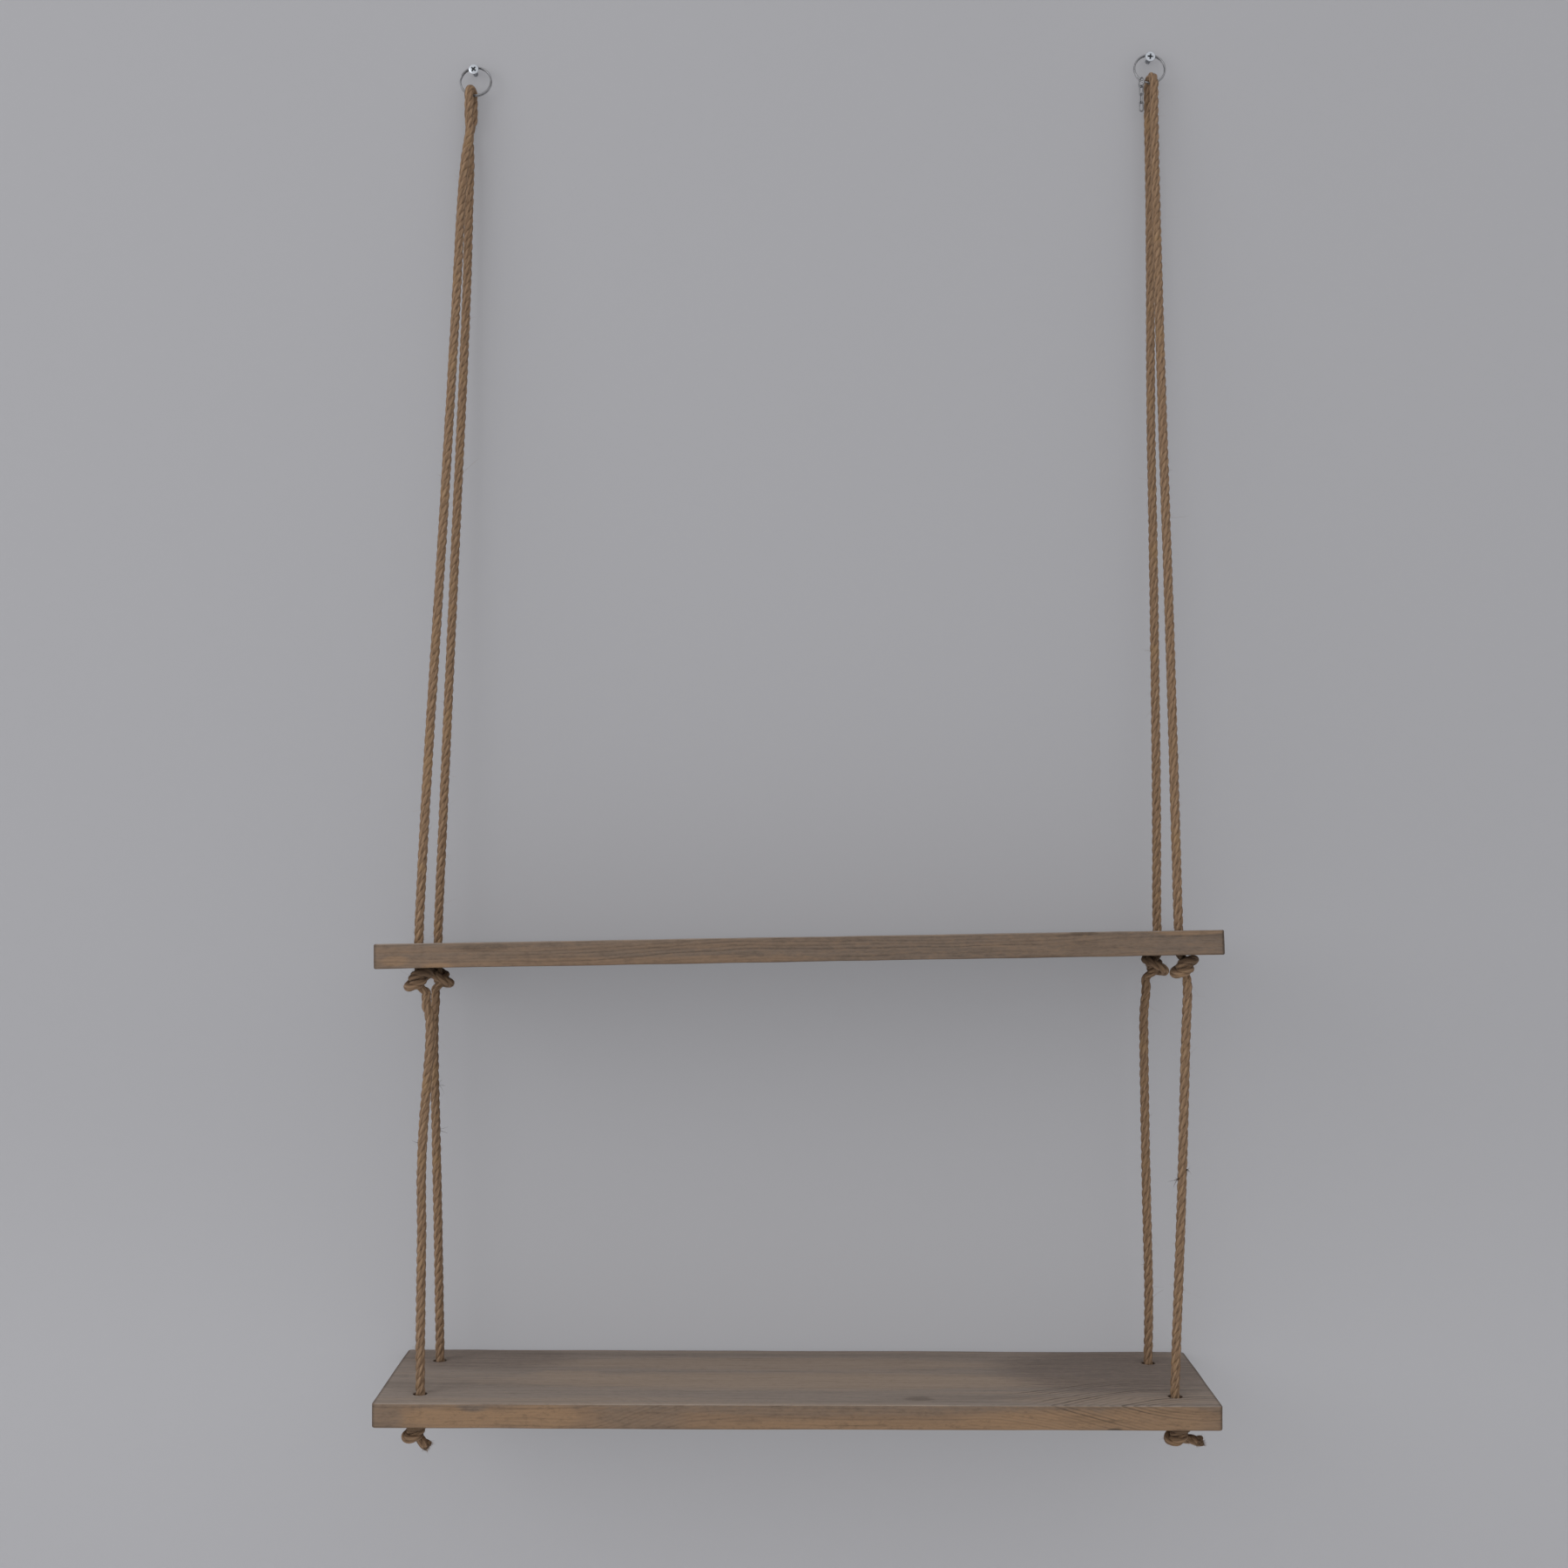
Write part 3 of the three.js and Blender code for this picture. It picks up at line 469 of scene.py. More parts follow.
def surface(tree, colour, roughness, height, bump_distance, bump_strength, plain_values):
    """The shader itself: colour and roughness from nodes, plain values on its own sockets."""
    values = {"Height": height, "Distance": bump_distance, "Strength": bump_strength}
    normal = node(tree, "ShaderNodeBump", values).outputs[0]
    inputs = {"Base Color": colour, "Roughness": roughness, "Normal": normal, **plain_values}
    shader = node(tree, "ShaderNodeBsdfPrincipled", inputs)
    node(tree, "ShaderNodeOutputMaterial", {"Surface": shader.outputs[0]})


def jute_material(settings, board):
    """Laid jute, with painted shade where it comes out under a board."""
    material, tree = new_material("jute_rope")
    if tree is None:
        return material
    place = node(tree, "ShaderNodeUVMap", uv_map="rope").outputs[0]
    body = node(tree, "ShaderNodeTexCoord").outputs["Object"]
    out = placed(tree, yarn_group(), {"Map": place})
    stray = node(tree, "ShaderNodeAttribute", attribute_name="stray").outputs["Fac"]
    colour = mixed(tree, remap(tree, out["Yarn"], 0.3, 0.56, 0.25, 1.0), solid(settings.dark), solid(settings.middle))
    colour = mixed(tree, remap(tree, out["Yarn"], 0.52, 0.74, 0.0, 0.75), colour, solid(settings.light))
    gold = mottled(tree, body, 55.0, 0.52, 0.72)
    colour = mixed(tree, maths(tree, "MULTIPLY", gold, 0.45), colour, solid(settings.gold))
    colour = mixed(tree, remap(tree, out["Fibre"], 0.5, 0.8, 0.0, 0.3), colour, solid(settings.light))
    colour = mixed(tree, remap(tree, out["Fibre"], 0.45, 0.2, 0.0, 0.3), colour, solid(settings.dark))
    # Painted highlight on the strands' crests and painted shade in the grooves between strands.
    colour = mixed(tree, remap(tree, out["Crest"], 0.7, 1.0, 0.0, 0.12), colour, solid(settings.light))
    shade = remap(tree, out["Crest"], 0.0, 0.9, 0.8, 0.0)
    colour = mixed(tree, shade, colour, solid(settings.dark))
    # Painted shade: the rope darkens towards each board's underside, starting 13 mm below it; the mix ends 10 mm under
    # the board's top, inside the hole.
    for tier in HANGS:
        hang = board_frame(board, tier)
        values = {"Vector": body, "Location": hang.translation, "Rotation": tuple(hang.to_euler("XYZ"))}
        local = node(tree, "ShaderNodeMapping", values, vector_type="TEXTURE").outputs[0]
        height = node(tree, "ShaderNodeSeparateXYZ", {0: local}).outputs["Z"]
        below = remap(tree, height, -board.thickness - 0.013, -board.thickness - 0.001, 0.0, 0.62)
        inside = remap(tree, height, -0.012, -0.01, 1.0, 0.0)
        colour = mixed(tree, maths(tree, "MULTIPLY", below, inside), colour, solid(settings.board_shade_and_threads))
    colour = mixed(tree, maths(tree, "MULTIPLY", stray, 0.35, clamp=True), colour, solid(settings.light))
    colour = mixed(tree, maths(tree, "MULTIPLY", stray, -0.8, clamp=True), colour, solid(settings.board_shade_and_threads))
    surface(tree, colour, 0.95, out["Height"], 0.0004, 0.5, {"Specular IOR Level": 0.25, "Sheen Weight": 0.05})
    return material


# What each board shows: its grain, and its patches by colour, with centre, size, raggedness and strength
LOOKS = {
    "upper": {
        "grain": {"Pith Side": -0.045, "Pith Height": 0.075, "Left Climb": 0.006, "Right Climb": -0.005, "Wander": 0.012},
        "spacing": 0.0023,
        "show": ((-0.02, -0.0725, -0.009), (0.2, 0.02, 0.012), 0.3, 0.35),
        "patches": (
            ("warm", (-0.12, -0.0725, -0.0155), (0.15, 0.006, 0.004), 0.8, 0.8),
            ("warm", (0.19, -0.0725, -0.009), (0.07, 0.006, 0.009), 0.6, 0.25),
            ("honey", (-0.255, -0.0725, -0.017), (0.012, 0.006, 0.0035), 0.3, 0.8),
            ("honey", (-0.285, -0.0725, -0.012), (0.01, 0.006, 0.004), 0.7, 0.5),
            ("dark", (-0.222, -0.0725, -0.004), (0.02, 0.006, 0.003), 0.9, 0.35),
            ("dark", (0.2, -0.0725, -0.001), (0.012, 0.006, 0.002), 0.6, 0.6),
            ("dark", (0.17, -0.0725, -0.0172), (0.03, 0.006, 0.002), 0.6, 0.5),
            ("honey", (0.275, -0.0725, -0.001), (0.03, 0.008, 0.0025), 0.5, 0.6),
            ("dark", (0.05, -0.0725, -0.009), (0.32, 0.006, 0.02), 0.3, 0.12),
            # The next patch is painted shade down the rounded right end of the upper board.
            ("dark", (0.3, -0.0725, -0.009), (0.0022, 0.006, 0.014), 0.3, 0.75),
        ),
    },
    "lower": {
        "grain": {"Pith Side": -0.1, "Pith Height": 0.11, "Left Climb": 0.026, "Right Climb": 0.034, "Wander": 0.012},
        "spacing": 0.0024,
        "show": ((0.225, -0.045, 0.0), (0.08, 0.04, 0.02), 0.4, 0.7),
        "patches": (
            ("honey", (-0.24, -0.0725, -0.01), (0.045, 0.006, 0.0085), 0.5, 0.8),
            ("honey", (-0.18, -0.0725, -0.009), (0.03, 0.006, 0.0095), 0.4, 0.75),
            ("honey", (0.05, -0.0725, -0.0155), (0.13, 0.006, 0.0055), 0.7, 0.55),
            ("honey", (0.17, -0.0725, -0.011), (0.06, 0.006, 0.009), 0.5, 0.75),
            ("stain", (-0.2283, -0.0725, 0.0), (0.0135, 0.008, 0.0062), 0.2, 1.0),
            ("stain", (-0.292, -0.0725, -0.009), (0.016, 0.01, 0.012), 0.6, 0.6),
            ("stain", (0.02, -0.0725, -0.002), (0.17, 0.006, 0.0065), 0.9, 0.6),
            ("stain", (-0.11, -0.0725, -0.009), (0.035, 0.006, 0.011), 0.6, 0.5),
            ("stain", (0.29, -0.0725, -0.006), (0.014, 0.006, 0.012), 0.8, 0.3),
            ("honey", (0.255, -0.0725, -0.009), (0.045, 0.006, 0.011), 0.6, 0.55),
            ("warm_top", (0.0, -0.012, 0.0), (0.25, 0.024, 0.004), 0.6, 0.8),
            ("warm_top", (-0.17, 0.005, 0.0), (0.03, 0.012, 0.004), 0.6, 0.6),
            ("warm_top", (-0.02, 0.034, 0.0), (0.21, 0.018, 0.004), 0.6, 0.6),
            ("warm_top", (0.22, -0.058, 0.0), (0.08, 0.012, 0.004), 0.5, 0.5),
            ("dark_top", (0.235, 0.02, 0.0), (0.09, 0.065, 0.004), 0.5, 0.75),
            ("dark_top", (-0.24, 0.05, 0.0), (0.08, 0.035, 0.004), 0.6, 0.5),
            ("dark", (0.0867, -0.0565, 0.0), (0.012, 0.006, 0.003), 0.5, 0.4),
            ("dark", (0.2236, -0.0725, -0.0175), (0.006, 0.006, 0.002), 0.4, 0.9),
        ),
    },
}


def pine_material(name, settings, frame_matrix, look):
    """Stained pine in one board's own directions, with the patches that this board shows."""
    material, tree = new_material(name)
    if tree is None:
        return material
    body = node(tree, "ShaderNodeTexCoord").outputs["Object"]
    turn = frame_matrix.to_euler("XYZ")
    values = {"Vector": body, "Location": frame_matrix.translation, "Rotation": tuple(turn)}
    place = node(tree, "ShaderNodeMapping", values, vector_type="TEXTURE").outputs[0]
    out = placed(tree, pine_group(), {"Vector": place, "Ring Spacing": look["spacing"], **look["grain"]})
    parts = node(tree, "ShaderNodeSeparateXYZ", {0: place}).outputs
    top = remap(tree, parts["Z"], -0.0009, -0.0002)
    side = maths(tree, "SUBTRACT", 1.0, top)
    spill = noise(tree, stretched(tree, place, (90.0, 20.0, 0.0)), 1.0, 3.0)
    level = maths(tree, "ADD", parts["Z"], remap(tree, spill, 0.4, 0.75, 0.0, 0.0035))
    # Ends: painted shade on a board's rounded ends, together with its darker end grain.
    ends = remap(tree, maths(tree, "ABSOLUTE", parts["X"]), 0.297, 0.2997)
    colours = {
        "warm": settings.warm, "honey": settings.honey, "stain": settings.stain, "dark": settings.dark,
        "warm_top": settings.warm_top, "dark_top": settings.dark_top,
    }
    base = settings.stain if name.startswith("upper") else settings.warm
    # Top faces take the grey top colours: stain, with painted light from above.
    colour = mixed(tree, top, solid(base), solid(settings.grey))
    spilled = maths(tree, "MULTIPLY", remap(tree, level, -0.003, -0.001, 0.0, 0.6), side)
    colour = mixed(tree, spilled, colour, solid(settings.stain))
    colour = mixed(tree, remap(tree, out["Bands"], 0.5, 0.3, 0.0, 0.25), colour, solid(settings.dark))
    pale = mixed(tree, top, solid(settings.warm), solid(settings.warm_top))
    colour = mixed(tree, remap(tree, out["Bands"], 0.5, 0.7, 0.0, 0.5), colour, pale)
    for kind, centre, size, ragged, strength in look["patches"]:
        patch = placed(tree, patch_group(), {"Vector": place, "Centre": centre, "Size": size, "Ragged": ragged})["Mask"]
        if kind != "dark":
            patch = maths(tree, "MULTIPLY", patch, top if kind.endswith("top") else side)
        colour = mixed(tree, maths(tree, "MULTIPLY", patch, strength), colour, solid(colours[kind]))
    centre, size, ragged, strength = look["show"]
    plain = placed(tree, patch_group(), {"Vector": place, "Centre": centre, "Size": size, "Ragged": ragged})["Mask"]
    show = maths(tree, "ADD", maths(tree, "MULTIPLY", plain, strength), remap(tree, side, 0.0, 1.0, 0.1, 0.3))
    show = maths(tree, "ADD", show, maths(tree, "MULTIPLY", ends, 0.4), clamp=True)
    colour = mixed(tree, maths(tree, "MULTIPLY", out["Rings"], show), colour, solid(settings.dark))
    depth = remap(tree, side, 0.0, 1.0, 0.5, 1.0)
    streak = maths(tree, "MULTIPLY", remap(tree, out["Streaks"], 0.5, 0.25, 0.0, 0.5), depth)
    colour = mixed(tree, streak, colour, solid(settings.dark))
    colour = mixed(tree, remap(tree, out["Streaks"], 0.52, 0.75, 0.0, 0.4), colour, pale)
    speck = maths(tree, "MULTIPLY", remap(tree, out["Pores"], 0.5, 0.3, 0.0, 0.22), depth)
    colour = mixed(tree, speck, colour, solid(settings.dark))
    blotch = noise(tree, stretched(tree, place, (150.0, 380.0, 380.0)), 1.0, 4.0, 0.7)
    darker = maths(tree, "MULTIPLY", remap(tree, blotch, 0.5, 0.32, 0.0, 0.3), depth)
    colour = mixed(tree, darker, colour, solid(settings.dark))
    paler = maths(tree, "MULTIPLY", remap(tree, blotch, 0.5, 0.68, 0.0, 0.4), depth)
    colour = mixed(tree, paler, colour, pale)
    light = maths(tree, "MULTIPLY", remap(tree, out["Pores"], 0.52, 0.72, 0.0, 0.4), depth)
    colour = mixed(tree, light, colour, pale)
    # Painted shade and darker end grain at both ends.
    colour = mixed(tree, maths(tree, "MULTIPLY", ends, 0.6), colour, solid(settings.dark))
    roughness = remap(tree, out["Streaks"], 0.2, 0.8, 0.8, 0.66)
    surface(tree, colour, roughness, out["Height"], 0.00028, 0.6, {"Specular IOR Level": 0.3})
    return material


def metal_material(name, base, tarnish, scale, dull, bright):
    """Worn metal: smudges in the polish and dull spots, and painted shade where a piece is marked for it."""
    material, tree = new_material(name)
    if tree is None:
        return material
    body = node(tree, "ShaderNodeTexCoord").outputs["Object"]
    spots = mottled(tree, body, scale, 0.5, 0.75)
    fine = noise(tree, body, scale * 8, 3.0)
    painted_shade = node(tree, "ShaderNodeAttribute", attribute_name="painted_shade").outputs["Fac"]
    colour = mixed(tree, maths(tree, "MULTIPLY", spots, 0.7), solid(base), solid(tarnish))
    # Painted shade: dark and dull where a piece's painted_shade mark is set.
    colour = mixed(tree, maths(tree, "MULTIPLY", painted_shade, 0.85), colour, solid(tone(40, 38, 36)))
    roughness = maths(tree, "ADD", remap(tree, fine, 0.3, 0.7, bright, dull), maths(tree, "MULTIPLY", painted_shade, 0.3))
    surface(tree, colour, roughness, fine, 0.00003, 0.5, {"Metallic": 1.0})
    return material


# Mesh tools


def start_piece():
    """Leave edit mode and deselect everything."""
    if bpy.context.mode != "OBJECT":
        bpy.ops.object.mode_set(mode="OBJECT")
    bpy.ops.object.select_all(action="DESELECT")


def pick(kind, test):
    """In edit mode, select the vertices, edges or faces that pass a test, and nothing else."""
    mesh = bpy.context.edit_object.data
    bpy.context.tool_settings.mesh_select_mode = (kind == "VERT", kind == "EDGE", kind == "FACE")
    shape = bmesh.from_edit_mesh(mesh)
    lists = {"VERT": shape.verts, "EDGE": shape.edges, "FACE": shape.faces}
    for group in lists.values():
        for element in group:
            element.select = False
    for element in lists[kind]:
        if test(element):
            element.select_set(True)
    bmesh.update_edit_mesh(mesh)


def apply_modifier(piece, name, kind, **settings):
    bpy.context.view_layer.objects.active = piece
    modifier = piece.modifiers.new(name, kind)
    for key, value in settings.items():
        setattr(modifier, key, value)
    bpy.ops.object.modifier_apply(modifier=modifier.name)


def finish_piece(piece, name, matrix, material, body, nodes, smooth_angle=35.0):
    """Put a modelled piece in its place, give it its finish and say what it stands for."""
    if len(piece.data.polygons) == 0:
        raise RuntimeError(f"{name} has no faces")
    start_piece()
    piece.select_set(True)
    bpy.context.view_layer.objects.active = piece
    bpy.ops.object.transform_apply(location=True, rotation=True, scale=True)
    piece.data.transform(matrix)
    piece.name = name
    piece.data.name = name
    bpy.ops.object.shade_smooth_by_angle(angle=math.radians(smooth_angle))
    piece.data.materials.clear()
    piece.data.materials.append(material)
    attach(piece, body)
    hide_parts(*nodes)
    return piece


def outward_normals():
    """In edit mode, merge doubles and turn all faces outwards."""
    bpy.ops.mesh.select_all(action="SELECT")
    bpy.ops.mesh.remove_doubles(threshold=1e-6)
    bpy.ops.mesh.normals_make_consistent(inside=False)


# Places shared by the pieces


def ring_frame(metal, side):
    """A split ring's own frame: its centre, leaning so that its foot stands off the wall."""
    x, z, _ = SCREW_PLACES[side]
    reach = metal.ring / 2 - metal.wire_depth - metal.shank / 2 - RING_SEAT_GAP
    drop = math.sqrt(reach**2 - RING_SHIFT[side] ** 2)
    centre = Vector((x + RING_SHIFT[side], -RING_WALL_DISTANCE - drop * math.sin(RING_LEAN),
                     z - drop * math.cos(RING_LEAN)))
    return Matrix.Translation(centre) @ Matrix.Rotation(-RING_LEAN, 4, "X")


def ring_point(metal, side, angle):
    radius = (metal.ring - metal.wire_depth) / 2
    return ring_frame(metal, side) @ Vector((radius * math.cos(angle), 0, radius * math.sin(angle)))


def board_frame(board, tier):
    """A board's own frame, with its origin in the middle of the top face."""
    centre_x, front_top_z, lean, roll = HANGS[tier]
    half = board.depth / 2
    place = (centre_x, -BOARD_WALL_GAP - half * math.cos(lean), front_top_z - half * math.sin(lean))
    return Matrix.Translation(place) @ Matrix.Rotation(-lean, 4, "X") @ Matrix.Rotation(-roll, 4, "Y")


def hole_place(board, tier, corner):
    end, edge = HOLES[tier][corner]
    side = -1 if corner.startswith("left") else 1
    rear = -1 if corner.endswith("front") else 1
    return side * (board.length / 2 - end), rear * (board.depth / 2 - edge)


def moved(matrix, points):
    turn = np.array(matrix.to_3x3())
    return np.asarray(points) @ turn.T + np.array(matrix.translation)


# Ropes


def knot_turns(belly):
    """The knot's turns in knot units, from its top to its bottom."""
    angles = np.linspace(KNOT_TURN_END, -KNOT_TURN_END, 21)
    closing = np.maximum(np.abs(angles) - KNOT_CLOSE_FROM, 0) / KNOT_CLOSE_SPAN
    radius = KNOT_RADIUS_SHARE * np.cos(math.pi / 2 * closing)
    height = -KNOT_HEIGHT_SHARE * np.sin(KNOT_RISE_SHARE * angles)
    return np.stack([radius * np.cos(angles + belly), radius * np.sin(angles + belly), height], 1)


def knot_points(board, tier, corner, spec, leaving):
    """A knot's points in its board's frame: run in, turns and run out."""
    belly, enter = spec[0], spec[1]
    x, y = hole_place(board, tier, corner)
    middle = np.array((x - enter * KNOT_UNIT, y, -board.thickness - KNOT_DROP))
    lead_in = [(enter * side, 0, lead) for lead, side in KNOT_LEADS[1:]]
    return np.array([*lead_in, *knot_turns(belly), *leaving]) * KNOT_UNIT + middle


def bowed(start, end, bows):
    """Points along a straight run, each moved aside and back by its bow in millimetres."""
    return [start + (end - start) * share + np.array((aside, back, 0)) * 0.001 for share, aside, back in bows]


class RopePath:
    """The control points of one rope, its thickness at each one, and named places along it."""

    def __init__(self):
        self.points, self.radii, self.marks = [], [], {}

    def add(self, points, radii):
        self.points.extend(np.asarray(points))
        self.radii.extend(np.broadcast_to(radii, len(points)))

    def mark(self, name):
        self.marks[name] = len(self.points) - 1

    def reverse(self):
        self.points.reverse()
        self.radii.reverse()
        self.marks = {name: len(self.points) - 1 - i for name, i in self.marks.items()}


def half_rope(rope, board, side, row, bight_end):
    """One side of a doubled rope, from the end of its bight down to its cut tail."""
    corner = f"{side}_{row}"
    thick, knotted = rope.diameter / 2, rope.knot_diameter / 2
    path = RopePath()
    upper, lower = board_frame(board, "upper"), board_frame(board, "lower")

    x, y = hole_place(board, "upper", corner)
    above = moved(upper, [(x, y + UPPER_ROPE_SEAT, rope.diameter)])[0]
    inside = moved(upper, [(x, y + UPPER_ROPE_SEAT, -ROPE_HOLE_DEPTH)])[0]
    below = bight_end - np.array((0, 0, rope.diameter))
    path.add([below, *bowed(below, above, UPPER_BOWS[corner]), above, inside], thick)
    path.mark("upper_hole")

    leave = UPPER_KNOTS[corner][2]
    leaving = [(leave * aside, 0, -lead) for lead, aside in reversed(KNOT_LEADS)]
    knot = knot_points(board, "upper", corner, UPPER_KNOTS[corner], leaving)
    radii = [thick * 0.92, thick * 0.86, *[knotted] * 21, thick * 0.86, thick * 0.95, thick]
    path.add(moved(upper, knot), radii)
    path.mark("knot_exit")

    exit_point = knot[-1]
    below = moved(upper, [exit_point - np.array((0, 0, rope.diameter))])[0]
    x, y = hole_place(board, "lower", corner)
    above = moved(lower, [(x, y, rope.diameter)])[0]
    inside = moved(lower, [(x, y, -ROPE_HOLE_DEPTH)])[0]
    path.add([below, *bowed(below, above, LOWER_BOWS[corner]), above, inside], thick)
    path.mark("lower_hole")

    knot = knot_points(board, "lower", corner, LOWER_KNOTS[corner], TAILS[corner])
    tail = np.linspace(knotted, knotted * 1.12, len(TAILS[corner]))
    path.add(moved(lower, knot), [thick * 0.92, thick * 0.86, *[knotted] * 21, *tail])
    path.mark("tail")
    return path


def bight_points(rope, metal, side):
    """Half a turn over the ring's foot, from the front run to the back one."""
    angle, turn = BIGHTS[side]
    foot = np.array(ring_point(metal, side, angle))
    bundle = 2 * metal.wire_width + metal.turn_gap
    radius = (bundle / 2 + BIGHT_SIDE_GAP + rope.diameter / 2) / math.cos(turn)
    drop = radius - rope.diameter / 2 - metal.wire_depth / 2 - BIGHT_TOP_GAP
    middle = foot - np.array((0, 0, drop))
    forward = np.array((-math.sin(turn), -math.cos(turn), 0))
    up = np.array((0, 0, 1))
    angles = np.linspace(0, math.pi, 9)
    arc = [middle + forward * radius * math.cos(a) + up * radius * math.sin(a) for a in angles]
    return [arc[0] - up * BIGHT_RUN, *arc, arc[-1] - up * BIGHT_RUN]


def whole_rope(rope, board, metal, side):
    """Both halves of a doubled rope as one path, from the back tail to the front one."""
    arc = bight_points(rope, metal, side)
    path = half_rope(rope, board, side, "back", arc[-1])
    path.reverse()
    path.marks = {f"back_{name}": i for name, i in path.marks.items()}
    path.add(list(reversed(arc)), rope.diameter / 2)
    front = half_rope(rope, board, side, "front", arc[0])
    offset = len(path.points)
    path.add(front.points, front.radii)
    path.marks.update({f"front_{name}": i + offset for name, i in front.marks.items()})
    return path


def smooth_samples(points, per_span=24):
    """Points along a centripetal Catmull-Rom curve, and the number of samples up to each control point."""
    points = np.array(points)
    ends = (2 * points[0] - points[1], 2 * points[-1] - points[-2])
    full = np.vstack([ends[0], points, ends[1]])
    t = np.linspace(0, 1, per_span, endpoint=False)[:, None]
    runs = []
    for p0, p1, p2, p3 in zip(full, full[1:], full[2:], full[3:]):
        d0, d1, d2 = (math.sqrt(np.linalg.norm(b - a)) for a, b in ((p0, p1), (p1, p2), (p2, p3)))
        m1 = ((p1 - p0) / d0 - (p2 - p0) / (d0 + d1) + (p2 - p1) / d1) * d1
        m2 = ((p2 - p1) / d1 - (p3 - p1) / (d1 + d2) + (p3 - p2) / d2) * d1
        cubic = (2 * p1 - 2 * p2 + m1 + m2) * t**3 + (3 * p2 - 3 * p1 - 2 * m1 - m2) * t**2
        runs.append(cubic + m1 * t + p1)
    return np.vstack([*runs, points[-1:]]), np.arange(len(points)) * per_span


class RopeLine:
    """A rope's middle line in even steps, with its thickness and a frame that turns as little as it can."""

    def __init__(self, path, step):
        dense, at = smooth_samples(path.points)
        run = np.concatenate([[0], np.cumsum(np.linalg.norm(np.diff(dense, axis=0), axis=1))])
        count = int(round(run[-1] / step)) + 1
        self.s = np.linspace(0, run[-1], count)
        self.p = np.stack([np.interp(self.s, run, dense[:, axis]) for axis in range(3)], 1)
        self.r = np.interp(self.s, run[at], path.radii)
        self.marks = {name: run[at][i] for name, i in path.marks.items()}
        self.length = run[-1]
        tangent = np.gradient(self.p, axis=0)
        self.t = tangent / np.linalg.norm(tangent, axis=1, keepdims=True)
        normals = [np.cross(self.t[0], (0.3, 1.0, 0.2))]
        for i in range(count - 1):
            normals.append(self.carried(i, normals[-1]))
        normals = np.array(normals)
        self.n = normals / np.linalg.norm(normals, axis=1, keepdims=True)
        self.b = np.cross(self.t, self.n)

    def carried(self, i, normal):
        """The normal carried one step along by two reflections."""
        step = self.p[i + 1] - self.p[i]
        size = step @ step
        mirrored = normal - step * (2 / size) * (step @ normal)
        tangent = self.t[i] - step * (2 / size) * (step @ self.t[i])
        change = self.t[i + 1] - tangent
        size = change @ change
        return mirrored if size < 1e-18 else mirrored - change * (2 / size) * (change @ mirrored)


STRAND_SIDES = 12
STRAND_COUNT = 3


